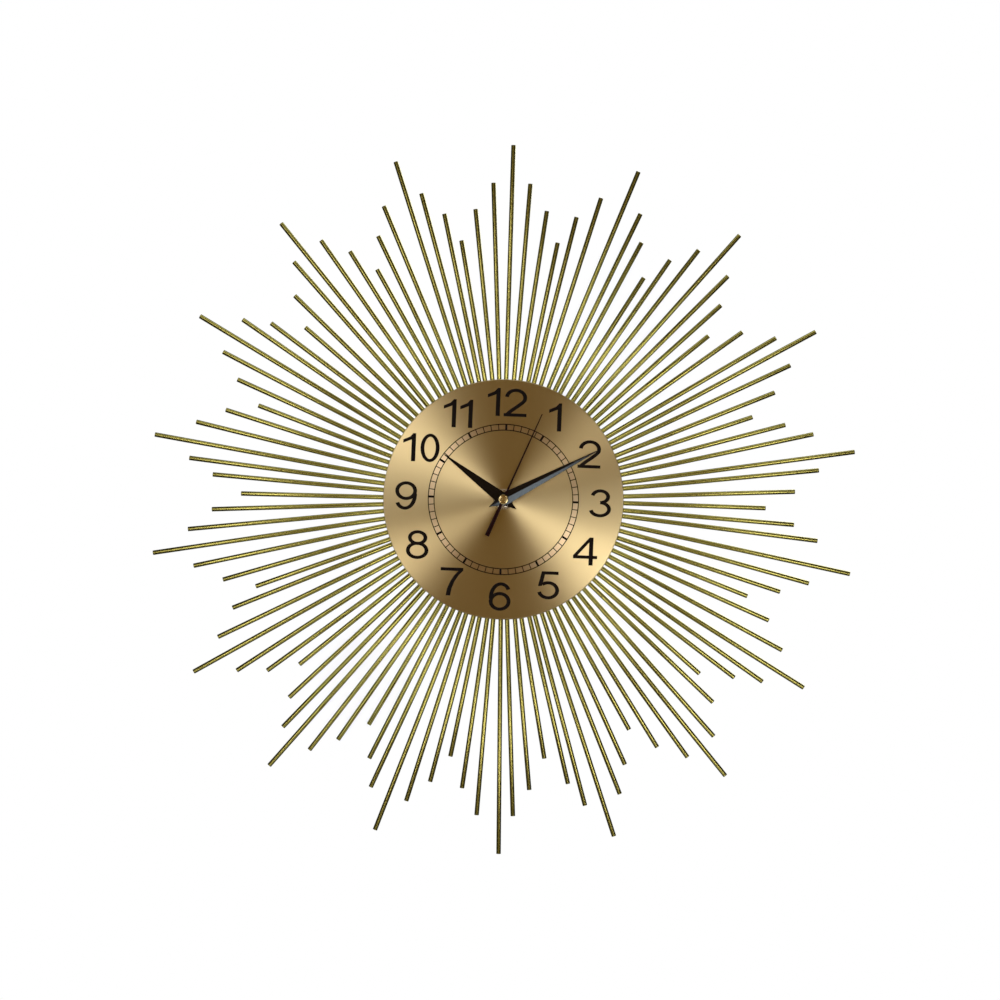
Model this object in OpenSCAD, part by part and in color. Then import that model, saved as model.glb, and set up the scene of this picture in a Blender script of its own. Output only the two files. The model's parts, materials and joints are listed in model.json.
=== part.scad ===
// Sunburst wall clock: welded ray frame, spun dial, quartz movement and three hands.
// Built flat, with the wall at height 0 and the hands towards the viewer, then stood up at the end:
// +Z is up, -Y is the front, and the origin is where the hands' axis meets the wall.

/* [Rays] */
// Diameter of the circle that the longest rays reach
ray_span = 508; // [460:1:560]
// Tip radius of the second-longest rays
mid_long_r = 227; // [220:1:235]
// Tip radius of the third-longest rays
mid_short_r = 209; // [200:1:215]
// Tip radius of the shortest rays
short_r = 188; // [180:1:195]
// Diameter of every ray
ray_d = 3.3; // [2.4:0.1:3.3]
// Turn of the whole ray frame against the dial, in degrees
ray_frame_turn = -0.9; // [-2:0.1:2]
// Most that a ray is welded away from its even place, in degrees
weld_scatter = 0.36; // [0:0.01:0.36]
// Most that a ray leans away from pointing straight out, in degrees
lean_scatter = 0.85; // [0:0.05:0.9]

/* [Dial] */
// Diameter of the dial
dial_d = 172; // [168:1:180]
// Height of a numeral
numeral_h = 20; // [16:0.5:22]
// Radius of the circle that the numerals stand on
numeral_r = 69.5; // [68:0.5:71]
// Outer radius of the minute track
track_r = 54.1; // [50:0.1:56]
// Width of the minute track
track_w = 4.8; // [3:0.1:6]

/* [Hands] */
// Hub to tip of the hour hand
hour_len = 53; // [45:1:56]
// Hub to tip of the minute hand
minute_len = 75; // [65:1:80]
// Hub to tip of the second hand
second_len = 67; // [60:1:80]
// Hour shown at rest
show_hour = 10; // [0:1:11]
// Minute shown at rest
show_minute = 10; // [0:1:59]
// Second shown at rest
show_second = 3.7; // [0:0.1:59.9]

/* [Movement] */
// Side of the square movement case
case_w = 56; // [56:0.5:58]
// Diameter of the battery
battery_d = 13.9; // [13.5:0.1:14]

/* [Hidden] */
$fn = 64;
fit = 0.05;         // radial clearance of a running or push fit

// Heights above the wall, from the wall forwards
case_t = 15.4;
cover_t = 1.2;
cover_z = case_t - cover_t;
wall = 1.2;
gasket_t = 0.6;
disc_z = case_t + gasket_t;
disc_t = 1;
dial_z = disc_z + disc_t;
dial_t = 0.8;
dial_face_z = dial_z + dial_t;
ink_t = 0.12;
washer_t = 0.4;
nut_z = dial_face_z + washer_t;
nut_t = 2;
bush_top_z = nut_z + nut_t + 0.4;
hour_tube_top_z = 22;
hour_hand_z = 21.2;
minute_hand_z = 22.5;
minute_arbor_top_z = 23.4;
second_hand_z = 24;
cap_z = 24.3;
front_z = 25.4;

// Rays
ray_count = 108;
group = 6;          // long, mid long, mid short, short, mid short, mid long
pitch = 360 / ray_count;
weld_r = 78;        // where a ray is welded to the disc
weld_lap = 5;       // length of ray inside the weld
ray_z = disc_z - ray_d / 2;
weld_offsets = rands(-weld_scatter, weld_scatter, ray_count, 11);
lean_offsets = rands(-lean_scatter, lean_scatter, ray_count, 29);

// Dial
disc_r = dial_d / 2 - 1.4;
rim_t = 0.6;
track_line = 0.65;

// Shafts on the hands' axis
bush_r = 4;
bush_bore_r = 2.6;
hour_tube_r = 2.5;
minute_tube_r = 1.7;
second_pin_r = 0.5;

// Pins of the wheels that turn on their own arbors
third_pin_r = 0.4;
step_pin_r = 0.4;
rotor_pin_r = 0.3;
reverse_pin_r = 0.5;
set_pin_r = 0.45;
reverse_top_pin_r = 0.45;
set_shaft_r = 1;
pin_low = 0.6;      // where the pins that stand in the back shell start
cover_pin_top = cover_z + 0.6;      // where the pins that stand in the cover end

// Gears: [teeth, module]. Wheels and pinions share one pressure angle.
pressure_angle = 25;
wheel_addendum = 0.7;
pinion_addendum = 0.9;
tip_clearance = 0.25;
backlash = 0.03;    // taken off each flank
gear_t = 0.8;
fine_module = 0.24;
train_module = 0.3;
rotor_teeth = 8;
step_teeth = 48;
step_pinion_teeth = 8;
second_teeth = 40;
second_pinion_teeth = 8;
third_teeth = 60;
third_pinion_teeth = 8;
centre_teeth = 64;
cannon_teeth = 12;
reverse_teeth = 36;
reverse_pinion_teeth = 10;
hour_teeth = 40;
set_teeth = 12;
function spacing(m, a, b) = m * (a + b) / 2;
third_spacing = spacing(train_module, second_pinion_teeth, third_teeth);
centre_module = third_spacing * 2 / (third_pinion_teeth + centre_teeth);
motion_module = 0.42;
reverse_spacing = spacing(motion_module, cannon_teeth, reverse_teeth);
hour_module = reverse_spacing * 2 / (reverse_pinion_teeth + hour_teeth);

// Wheel centres, with the hands' axis at [0, 0]
function along(p, r, a) = [p[0] + r * cos(a), p[1] + r * sin(a)];
third_a = 50;
step_a = 120;
rotor_a = 140;
reverse_a = 170;
set_a = 200;
third_p = along([0, 0], third_spacing, third_a);
step_p = along([0, 0], spacing(train_module, step_pinion_teeth, second_teeth), step_a);
rotor_p = along(step_p, spacing(fine_module, rotor_teeth, step_teeth), rotor_a);
reverse_p = along([0, 0], reverse_spacing, reverse_a);
set_p = along(reverse_p, spacing(motion_module, set_teeth, reverse_teeth), set_a);

// Heights of the gear layers
step_layer = 4.5;
second_layer = 6;
third_layer = 8;
bridge_z = 9.1;
bridge_t = 0.6;
centre_layer = 10;
motion_layer = 11.4;
hour_layer = 12.6;

// The turn that puts gear b's teeth in the gaps of gear a, which lies at angle dir from b's partner:
// tooth_a is the angle of one of a's teeth, and dir points from a to b.
function meshed(tooth_a, teeth_a, teeth_b, dir) =
    dir + 180 - (tooth_a - dir) * teeth_a / teeth_b - 180 / teeth_b;
third_turn = meshed(0, second_pinion_teeth, third_teeth, third_a);
centre_turn = meshed(0, third_pinion_teeth, centre_teeth, third_a + 180);
step_pinion_turn = meshed(0, second_teeth, step_pinion_teeth, step_a);
rotor_turn = meshed(0, step_teeth, rotor_teeth, rotor_a);
reverse_turn = meshed(0, cannon_teeth, reverse_teeth, reverse_a);
hour_turn = meshed(0, reverse_pinion_teeth, hour_teeth, reverse_a + 180);
set_turn = meshed(reverse_turn, reverse_teeth, set_teeth, set_a);

// Movement layout
case_h = case_w / 2;
inner = case_h - wall;
bay_top = -12;      // the battery bay lies below this
bay_y = (bay_top - inner) / 2 - 0.2;
battery_z = 7.15;
battery_left = -24;
contact_x = 26.2;
posts = [[-22.5, 9], [14, -7], [22, 8], [-8.4, -8]];
post_r = 1.8;
stake_r = 0.8;
well_r = 6;         // recess for the setting knob
well_depth = 2.6;
knob_z = [0.2, 2.4];
coil_y = 22.5;
coil_z = 3.9;
coil_x = [-17.5, -0.5];
core_x = [-22, 4];
stator_z = 2.4;
board = [9, 14.5, 16, 11];     // x, y, width, height
board_z = 3;
board_t = 1;
contact_t = 0.4;

// Hands
hand_half_w = 4.5;
hand_tip_half_w = 0.3;
hand_shoulder = 1;  // the widest place, towards the tip from the axis
hand_tail = 11.7;
hand_edge_t = 0.2;
hand_peak_t = 0.6;
second_tail = 28.5;
cap_r = 3.5;
second_angle = show_second * 6;
minute_angle = (show_minute + show_second / 60) * 6;
hour_angle = (show_hour + show_minute / 60 + show_second / 3600) * 30;

// ---------- shared shapes ----------

// Stands a flat-built piece up, front towards -Y
module upright() {
    rotate([90, 0, 0]) children();
}

module disc(r, z0, z1) {
    translate([0, 0, z0]) cylinder(r = r, h = z1 - z0);
}

module tube(outer, bore, z0, z1) {
    difference() {
        disc(outer, z0, z1);
        disc(bore, z0 - 1, z1 + 1);
    }
}

module at(p) {
    translate([p[0], p[1], 0]) children();
}

// Block from two opposite corners
module block(low, high) {
    translate(low) cube(high - low);
}

// Block with its four upright edges rounded
module rounded_block(half_w, z0, z1, r) {
    flat = half_w - r;
    block([-half_w, -flat, z0], [half_w, flat, z1]);
    block([-flat, -half_w, z0], [flat, half_w, z1]);
    for (x = [-flat, flat], y = [-flat, flat])
        at([x, y]) disc(r, z0, z1);
}

// Flat bar between two points
module bar2d(a, b, w) {
    d = b - a;
    translate(a) rotate(atan2(d[1], d[0])) translate([0, -w / 2]) square([norm(d), w]);
}

// ---------- gears ----------

function involute(a) = tan(a) * 180 / PI - a;
function base_r(teeth, m) = teeth * m / 2 * cos(pressure_angle);
// Half of a tooth's angle at radius r; below the base circle the flank is radial
function half_tooth(teeth, m, r) =
    90 / teeth + involute(pressure_angle)
    - involute(acos(min(1, base_r(teeth, m) / max(r, base_r(teeth, m)))))
    - backlash / r * 180 / PI;
function polar(r, a) = [r * cos(a), r * sin(a)];

function gear_outline(teeth, m, addendum, dedendum) =
    let (
        pitch_r = teeth * m / 2,
        root = pitch_r - dedendum * m,
        tip = pitch_r + addendum * m,
        flank_start = max(root + 0.02, base_r(teeth, m)),
        steps = 3,
        radii = [root, for (i = [0 : steps]) flank_start + (tip - flank_start) * i / steps]
    )
    [for (k = [0 : teeth - 1], side = [-1, 1], i = [0 : steps + 1])
        let (r = side < 0 ? radii[i] : radii[steps + 1 - i])
        polar(r, k * 360 / teeth + side * half_tooth(teeth, m, r))];

module wheel(teeth, m, z0, turn) {
    translate([0, 0, z0]) rotate([0, 0, turn]) linear_extrude(gear_t)
        polygon(gear_outline(teeth, m, wheel_addendum, pinion_addendum + tip_clearance));
}

module pinion(teeth, m, z0, z1, turn) {
    translate([0, 0, z0]) rotate([0, 0, turn]) linear_extrude(z1 - z0)
        polygon(gear_outline(teeth, m, pinion_addendum, wheel_addendum + tip_clearance));
}

// ---------- ray frame ----------

// One ray, by its place round the frame, clockwise from twelve
module ray(i, tip_r) {
    chamfer = 0.25;
    r = ray_d / 2;
    h = tip_r - weld_r + weld_lap;
    place = i * pitch + ray_frame_turn + weld_offsets[i] + 0.4 * sin(i * pitch + 30);
    rotate([0, 0, -place]) translate([0, weld_r, ray_z])
        rotate([0, 0, -lean_offsets[i]]) translate([0, -weld_lap, 0])
            rotate([-90, 0, 0]) rotate_extrude($fn = 32)
                polygon([[0, 0], [r, 0], [r, h - chamfer], [r - chamfer, h], [0, h]]);
}

// The rays that stand at the given places in each group of six
module rays(places, tip_r) {
    for (g = [0 : group : ray_count - 1], p = places)
        ray(g + p, tip_r);
}

module long_rays() {
    color("goldenrod") upright() rays([0], ray_span / 2);
}

module mid_long_rays() {
    color("goldenrod") upright() rays([1, 5], mid_long_r);
}

module mid_short_rays() {
    color("goldenrod") upright() rays([2, 4], mid_short_r);
}

module short_rays() {
    color("goldenrod") upright() rays([3], short_r);
}

module back_disc() {
    color("darkgoldenrod") upright() tube(disc_r, bush_r + fit, disc_z, disc_z + disc_t);
}

// Z-shaped strap spot-welded to the back of the disc, with a keyhole in its wall-side tab
module hanger_bracket() {
    strap_t = 1.2;
    strap_w = 22;
    tab_z = 0.8;
    tab_low = 34;
    riser_y = 58;
    flange_high = 69;
    key_y = 43;
    key_r = 4.5;
    slot_r = 2.3;
    slot_top = 51;
    color("darkgoldenrod") upright() difference() {
        union() {
            block([-strap_w / 2, tab_low, tab_z], [strap_w / 2, riser_y + strap_t, tab_z + strap_t]);
            block([-strap_w / 2, riser_y, tab_z], [strap_w / 2, riser_y + strap_t, disc_z]);
            block([-strap_w / 2, riser_y, disc_z - strap_t], [strap_w / 2, flange_high, disc_z]);
        }
        at([0, key_y]) disc(key_r, -1, 4);
        at([0, slot_top]) disc(slot_r, -1, 4);
        block([-slot_r, key_y, -1], [slot_r, slot_top, 4]);
    }
}

// ---------- dial ----------

// Flat spun plate whose rim is rolled back over the disc's edge
module dial_plate() {
    r = dial_d / 2;
    round_r = 0.7;
    rim_low = disc_z + 0.1;
    hole_r = bush_r + fit;
    arc_steps = 6;
    profile = concat(
        [[hole_r, dial_z], [r - rim_t, dial_z], [r - rim_t, rim_low], [r, rim_low]],
        [for (i = [0 : arc_steps])
            let (a = 90 * i / arc_steps)
            [r - round_r + round_r * cos(a), dial_face_z - round_r + round_r * sin(a)]],
        [[hole_r, dial_face_z]]
    );
    color("burlywood") upright() rotate_extrude($fn = 128) polygon(profile);
}

// Numerals are drawn 100 units high, as strokes of one width, then widened and scaled to size
stroke_w = 11.3;
widen = 1.22;
function arc_points(c, rx, ry, a0, a1, n) =
    [for (i = [0 : n]) let (a = a0 + (a1 - a0) * i / n) [c[0] + rx * cos(a), c[1] + ry * sin(a)]];

// Unit normal of a path at point i
function path_normal(p, i) =
    let (
        a = p[max(i - 1, 0)],
        b = p[min(i + 1, len(p) - 1)],
        d = (b - a) / norm(b - a)
    )
    [-d[1], d[0]];

module stroke(path) {
    left = [for (i = [0 : len(path) - 1]) path[i] + path_normal(path, i) * stroke_w / 2];
    right = [for (i = [len(path) - 1 : -1 : 0]) path[i] - path_normal(path, i) * stroke_w / 2];
    polygon(concat(left, right));
}

// Closed oval line, from its outer half sizes
module oval_line(c, rx, ry) {
    difference() {
        polygon(arc_points(c, rx, ry, 0, 348, 29));
        polygon(arc_points(c, rx - stroke_w, ry - stroke_w, 0, 348, 29));
    }
}

module digit_0() {
    oval_line([0, 50], 28, 51);
}

module digit_1() {
    stem = 12.3;
    polygon([[13, 0], [13, 100.5], [5, 100.5], [-4, 88], [-24, 77], [-24, 65], [0.7, 77.5], [13 - stem, 0]]);
}

module digit_2() {
    r = 27;
    stroke(concat(
        arc_points([1, 67.5], r, r, 175, -20, 16),
        [[20, 50], [8, 38], [-8, 24], [-19, 13], [-25, 5]]
    ));
    translate([-33.5, 0]) square([67, stroke_w]);
}

module digit_3() {
    stroke(arc_points([-1, 73.5], 23, 21, 170, -90, 16));
    stroke(arc_points([-1, 29], 27, 23.5, 90, -168, 18));
}

module digit_4() {
    stem_x = 10;
    stem = 12.3;
    difference() {
        polygon([[-36, 35], [stem_x + 1, 100], [stem_x + stem, 100], [stem_x + stem, 35], [35, 35],
            [35, 23.5], [stem_x + stem, 23.5], [stem_x + stem, 0], [stem_x, 0], [stem_x, 23.5], [-36, 23.5]]);
        polygon([[-23, 35], [stem_x, 35], [stem_x, 82]]);
    }
}

module digit_5() {
    stroke(arc_points([-1, 32.5], 27, 27, 130, -165, 18));
    polygon([[-31, 46], [-21, 100], [28, 100], [28, 88.7], [-11.5, 88.7], [-17, 58.5], [-19.5, 47.5]]);
}

module digit_6() {
    oval_line([1, 32.5], 32, 33.5);
    stroke(concat(
        arc_points([3, 67], 23.5, 28, 18, 90, 8),
        arc_points([3, 46], 28.4, 49, 97, 185, 12)
    ));
}

module digit_7() {
    polygon([[-33, 88.7], [-33, 100], [33, 100], [33, 90.5], [21, 75], [9, 52], [1, 26], [-2.5, 0],
        [-15.5, 0], [-12.5, 24], [-4, 50], [7, 72], [19, 88.7]]);
}

module digit_8() {
    oval_line([0, 75], 28.5, 26.5);
    oval_line([0, 29.5], 33, 31);
}

module digit_9() {
    translate([0, 100]) rotate(180) digit_6();
}

module digit(d) {
    if (d == 0) digit_0();
    if (d == 1) digit_1();
    if (d == 2) digit_2();
    if (d == 3) digit_3();
    if (d == 4) digit_4();
    if (d == 5) digit_5();
    if (d == 6) digit_6();
    if (d == 7) digit_7();
    if (d == 8) digit_8();
    if (d == 9) digit_9();
}

// One hour's numeral, upright, centred on its own place
module numeral(hour) {
    size = numeral_h / 100;
    tens_x = [-36, -23, -41];       // for 10, 11 and 12
    units_x = [31.5, 36, 29.5];
    one_x = 6.7;
    tens = floor(hour / 10);
    units = hour - tens * 10;
    x = tens > 0 ? units_x[units] : (units == 1 ? one_x : 0);
    scale([size, size, 1]) translate([0, -50, 0]) linear_extrude(ink_t) {
        translate([x, 0]) scale([widen, 1]) digit(units);
        if (tens > 0) translate([tens_x[units], 0]) scale([widen, 1]) digit(tens);
    }
}

module dial_numerals() {
    color("black") upright() for (hour = [1 : 12])
        translate([numeral_r * sin(hour * 30), numeral_r * cos(hour * 30), dial_face_z])
            numeral(hour);
}

// Two printed circles with a tick for every minute between them
module minute_track() {
    inner_r = track_r - track_w;
    hour_tick_w = 1.5;
    minute_tick_w = 0.6;
    color("black") upright() {
        tube(track_r, track_r - track_line, dial_face_z, dial_face_z + ink_t);
        tube(inner_r + track_line, inner_r, dial_face_z, dial_face_z + ink_t);
        for (minute = [0 : 59]) {
            w = minute % 5 == 0 ? hour_tick_w : minute_tick_w;
            rotate([0, 0, -minute * 6])
                block([-w / 2, inner_r + track_line + 0.02, dial_face_z],
                    [w / 2, track_r - track_line - 0.02, dial_face_z + ink_t]);
        }
    }
}

// ---------- fastening through the dial ----------

module rubber_gasket() {
    color("dimgray") upright() tube(9, bush_r + fit, case_t, case_t + gasket_t);
}

module dial_washer() {
    color("gold") upright() tube(7.2, bush_r + fit, dial_face_z, dial_face_z + washer_t);
}

module hex_nut() {
    across_corners = 12.7;
    color("gold") upright() difference() {
        translate([0, 0, nut_z]) cylinder(d = across_corners, h = nut_t, $fn = 6);
        disc(bush_r + 0.02, nut_z - 1, nut_z + nut_t + 1);
    }
}

module threaded_bush() {
    flange_r = 6;
    flange_t = 0.6;
    chamfer = 0.4;
    groove = 0.25;
    step = 0.75;
    first = nut_z + nut_t - 4 * step;
    thread = [for (z = [first : step : bush_top_z - chamfer - step])
        each [[bush_r, z], [bush_r - groove, z + step / 2]]];
    color("gold") upright() rotate_extrude() polygon(concat(
        [[bush_bore_r, cover_z - flange_t], [flange_r, cover_z - flange_t],
            [flange_r, cover_z], [bush_r, cover_z]],
        thread,
        [[bush_r, bush_top_z - chamfer], [bush_r - chamfer, bush_top_z], [bush_bore_r, bush_top_z]]
    ));
}

// ---------- movement case ----------

// Front cover of the movement, with two side clips that hook over the back shell
module case_front() {
    clip_w = 7;
    clip_t = 0.9;
    clip_low = 9;
    window_low = 9.8;
    window_high = 11.8;
    window_w = 4;
    pivot_r = 0.5;
    pivot_depth = 0.7;
    color("dimgray") upright() difference() {
        union() {
            rounded_block(case_h, cover_z, case_t, 3);
            for (side = [-1, 1])
                block([min(side * case_h, side * (case_h + clip_t)), -clip_w / 2, clip_low],
                    [max(side * case_h, side * (case_h + clip_t)), clip_w / 2, case_t]);
        }
        disc(bush_r + 0.02, cover_z - 1, case_t + 1);
        for (p = [third_p, reverse_p, set_p])
            at(p) disc(pivot_r, cover_z - 1, cover_z + pivot_depth);
        for (side = [-1, 1])
            translate([side * (case_h + clip_t / 2), 0, (window_low + window_high) / 2])
                cube([clip_t * 3, window_w, window_high - window_low], center = true);
    }
}

// Back shell: gear chamber above, battery bay open to the back below, and a well for the knob
module case_back() {
    boss_r = 1.4;
    boss_z = 1.8;
    pivots = [[[0, 0], second_pin_r], [third_p, third_pin_r], [step_p, step_pin_r], [rotor_p, rotor_pin_r]];
    board_posts = [[11, 16.5], [23, 23.5]];
    board_post_r = 1.2;
    coil_posts = [[-20.2, coil_y], [2, coil_y]];
    coil_post_r = 1.3;
    nub = [1.2, 3.4, 1.6];
    nub_z = 10.8;
    positive_slot = [3, 8];         // low and high side of the slot that the contact passes through
    negative_slot = [5.9, 8.1];
    negative_slot_x = -24.6;
    color("dimgray") upright() difference() {
        union() {
            difference() {
                rounded_block(case_h, 0, cover_z, 3);
                block([-inner, bay_top + wall, wall], [inner, inner, cover_z + 1]);
                block([-inner, -inner, -1], [inner, bay_top, cover_z + 1]);
                block([contact_x - 0.1, bay_top - 1, positive_slot[0]],
                    [inner, bay_top + wall + 1, positive_slot[1]]);
                block([-inner, bay_top - 1, negative_slot[0]],
                    [negative_slot_x, bay_top + wall + 1, negative_slot[1]]);
            }
            at(set_p) disc(well_r + wall, 0, well_depth + wall);
            for (p = posts) at(p) {
                disc(post_r, wall, bridge_z);
                disc(stake_r, bridge_z, bridge_z + bridge_t + 0.3);
            }
            for (p = pivots) at(p[0]) disc(boss_r, wall, boss_z);
            for (p = board_posts) at(p) disc(board_post_r, wall, board_z);
            for (p = coil_posts) at(p) disc(coil_post_r, wall, stator_z);
            for (side = [-1, 1])
                translate([side * (case_h + nub[0] / 4), 0, nub_z])
                    cube([nub[0] / 2, nub[1], nub[2]], center = true);
        }
        at(set_p) {
            disc(well_r, -1, well_depth);
            disc(set_shaft_r + fit, -1, well_depth + wall + 1);
        }
        for (p = pivots) at(p[0]) disc(p[1] + fit, 0.5, boss_z + 1);
    }
}

// Inner plate between the going train and the motion work
module gear_bridge() {
    bridge_half_w = 24.5;
    bridge_low = -10.2;
    bridge_high = 18;
    third_hole_r = 1.7;
    set_hole_r = 1.3;
    holes = concat(
        [[[0, 0], second_pin_r + fit], [third_p, third_hole_r], [step_p, step_pin_r + fit],
            [rotor_p, rotor_pin_r + fit], [reverse_p, reverse_pin_r + fit], [set_p, set_hole_r]],
        [for (p = posts) [p, stake_r]]
    );
    color("gainsboro") upright() difference() {
        block([-bridge_half_w, bridge_low, bridge_z], [bridge_half_w, bridge_high, bridge_z + bridge_t]);
        for (hole = holes) at(hole[0]) disc(hole[1], bridge_z - 1, bridge_z + 2);
    }
}

// ---------- battery and contacts ----------

module battery() {
    nub_r = 2.7;
    nub_l = 1.2;
    r = battery_d / 2;
    body_l = contact_x - battery_left - nub_l;
    edge = 0.5;
    color("silver") upright() translate([battery_left, bay_y, battery_z]) rotate([0, 90, 0])
        rotate_extrude() polygon([[0, 0], [r - edge, 0], [r, edge], [r, body_l - edge],
            [r - edge, body_l], [nub_r, body_l], [nub_r, body_l + nub_l], [0, body_l + nub_l]]);
}

// Flat strip at the positive end, with a tail up to the circuit board
module battery_contact_positive() {
    plate_z = [3.2, 7.6];
    plate_low = bay_y - 5;
    foot_x = 24;
    foot_y = [16.5, 18];
    foot_z = board_z + board_t;
    color("gold") upright() {
        block([contact_x, plate_low, plate_z[0]], [contact_x + contact_t, foot_y[1], plate_z[1]]);
        block([foot_x, foot_y[0], foot_z], [contact_x, foot_y[1], foot_z + contact_t]);
    }
}

// Plate at the negative end with a bowed leaf, and a strip along the bay wall to the circuit board
module battery_contact_negative() {
    x = -inner;
    wall_y = bay_top + wall;
    plate_low = bay_y - 6;
    plate_z = [3.4, 11.4];
    leaf_z = 5;
    leaf_w = 4.8;
    leaf_half = 5.2;
    leaf_flat = 1;
    end_x = 25.2;
    strip_z = [6, 8];
    foot_x = 23.5;
    foot_y = [14.6, 16];
    foot_z = board_z + board_t;
    color("gold") upright() {
        block([x, plate_low, plate_z[0]], [x + contact_t, bay_top, plate_z[1]]);
        translate([0, bay_y, leaf_z]) linear_extrude(leaf_w) polygon([
            [x + contact_t, -leaf_half], [battery_left, -leaf_flat],
            [battery_left, leaf_flat], [x + contact_t, leaf_half],
            [x + contact_t, leaf_half - 0.8], [battery_left - 0.5, leaf_flat - 0.4],
            [battery_left - 0.5, 0.4 - leaf_flat], [x + contact_t, 0.8 - leaf_half]
        ]);
        block([x, bay_top, strip_z[0]], [x + contact_t, wall_y + contact_t, strip_z[1]]);
        block([x, wall_y, strip_z[0]], [end_x + contact_t, wall_y + contact_t, strip_z[1]]);
        block([end_x, wall_y, foot_z], [end_x + contact_t, foot_y[1], strip_z[1]]);
        block([foot_x, foot_y[0], foot_z], [end_x, foot_y[1], foot_z + contact_t]);
    }
}

// ---------- electronics and motor ----------

module circuit_board() {
    color("seagreen") upright()
        block([board[0], board[1], board_z], [board[0] + board[2], board[1] + board[3], board_z + board_t]);
}

module clock_chip() {
    color("black") upright() intersection() {
        translate([14, 20.5, board_z - 2]) sphere(r = 4);
        block([9.5, 15, board_z + board_t], [18.5, 25.4, board_z + 3]);
    }
}

module quartz_crystal() {
    color("silver") upright() translate([20.5, 17.5, board_z + 2]) rotate([-90, 0, 0]) cylinder(r = 1, h = 6);
}

module stator() {
    t = 1;
    elbow_y = 16.6;
    left_foot = [-20.2, coil_y];
    right_foot = [2, coil_y];
    left_elbow = [left_foot[0], elbow_y];
    right_elbow = [right_foot[0], elbow_y];
    color("lightgray") upright() difference() {
        translate([0, 0, stator_z]) linear_extrude(t) {
            translate(rotor_p) circle(r = 5.2);
            bar2d(rotor_p, left_elbow, 3.6);
            bar2d(rotor_p, right_elbow, 3.6);
            translate(left_elbow - [1.8, 1.4]) square([3.6, coil_y - elbow_y + 3.4]);
            translate(right_elbow - [1.8, 1.4]) square([3.6, coil_y - elbow_y + 3.4]);
        }
        at(rotor_p) disc(3.5, stator_z - 1, stator_z + 2);
    }
}

module coil_core() {
    color("lightgray") upright()
        block([core_x[0], coil_y - 1.5, coil_z - 0.5], [core_x[1], coil_y + 1.5, coil_z + 0.5]);
}

module coil_bobbin() {
    flange_t = 0.8;
    l = coil_x[1] - coil_x[0];
    color("ivory") upright() difference() {
        translate([coil_x[0], coil_y, coil_z]) rotate([0, 90, 0]) {
            cylinder(r = 1.9, h = l);
            cylinder(r = 2.6, h = flange_t);
            translate([0, 0, l - flange_t]) cylinder(r = 2.6, h = flange_t);
        }
        block([coil_x[0] - 1, coil_y - 1.52, coil_z - 0.52], [coil_x[1] + 1, coil_y + 1.52, coil_z + 0.52]);
    }
}

module coil_winding() {
    flange_t = 0.8;
    l = coil_x[1] - coil_x[0] - 2 * flange_t;
    color("peru") upright() translate([coil_x[0] + flange_t, coil_y, coil_z]) rotate([0, 90, 0])
        tube(2.45, 1.9, 0, l);
}

// ---------- going train ----------

module rotor_magnet() {
    color("dimgray") upright() at(rotor_p) tube(3, 0.7, 2.2, 3.8);
}

module rotor_pinion() {
    color("white") upright() at(rotor_p) {
        disc(0.7, 2, 4.3);
        pinion(rotor_teeth, fine_module, 4.3, 5.5, rotor_turn);
        disc(rotor_pin_r, pin_low, 2);
        disc(rotor_pin_r, 5.5, bridge_z + 0.5);
    }
}

module step_wheel() {
    color("white") upright() at(step_p) {
        disc(step_pin_r, pin_low, step_layer);
        wheel(step_teeth, fine_module, step_layer, 0);
        pinion(step_pinion_teeth, train_module,
            step_layer + gear_t, second_layer + gear_t + 0.2, step_pinion_turn);
        disc(step_pin_r, second_layer + gear_t + 0.2, bridge_z + 0.5);
    }
}

module second_wheel() {
    color("white") upright() difference() {
        union() {
            wheel(second_teeth, train_module, second_layer, 0);
            pinion(second_pinion_teeth, train_module, second_layer + gear_t, third_layer + gear_t + 0.1, 0);
        }
        disc(second_pin_r, 0, 20);
    }
}

module second_arbor() {
    color("silver") upright() disc(second_pin_r, pin_low, cap_z);
}

module third_wheel() {
    color("white") upright() at(third_p) {
        disc(third_pin_r, pin_low, third_layer);
        wheel(third_teeth, train_module, third_layer, third_turn);
        pinion(third_pinion_teeth, centre_module, third_layer + gear_t, centre_layer + gear_t + 0.2, 0);
        disc(third_pin_r, centre_layer + gear_t + 0.2, cover_pin_top);
    }
}

module centre_wheel() {
    color("white") upright() difference() {
        wheel(centre_teeth, centre_module, centre_layer, centre_turn);
        disc(minute_tube_r, 0, 20);
    }
}

// ---------- motion work ----------

// Tube that carries the minute hand, with the cannon pinion formed on it
module minute_arbor() {
    color("silver") upright() difference() {
        union() {
            disc(minute_tube_r, bridge_z + bridge_t + 0.1, minute_arbor_top_z);
            pinion(cannon_teeth, motion_module, centre_layer + gear_t, hour_layer - 0.2, 0);
        }
        disc(second_pin_r + fit, 0, 30);
    }
}

module reverse_wheel() {
    color("white") upright() at(reverse_p) {
        disc(reverse_pin_r, bridge_z + 0.1, motion_layer);
        wheel(reverse_teeth, motion_module, motion_layer, reverse_turn);
        pinion(reverse_pinion_teeth, hour_module, motion_layer + gear_t, hour_layer + gear_t + 0.2, 0);
        disc(reverse_top_pin_r, hour_layer + gear_t + 0.2, cover_pin_top);
    }
}

module hour_wheel() {
    color("white") upright() difference() {
        union() {
            wheel(hour_teeth, hour_module, hour_layer, hour_turn);
            disc(hour_tube_r, hour_layer, hour_tube_top_z);
        }
        disc(minute_tube_r + fit, 0, 30);
    }
}

module set_gear() {
    color("white") upright() at(set_p) {
        disc(set_shaft_r, knob_z[1], motion_layer);
        pinion(set_teeth, motion_module, motion_layer, motion_layer + gear_t, set_turn);
        disc(set_pin_r, motion_layer + gear_t, cover_pin_top);
    }
}

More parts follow.
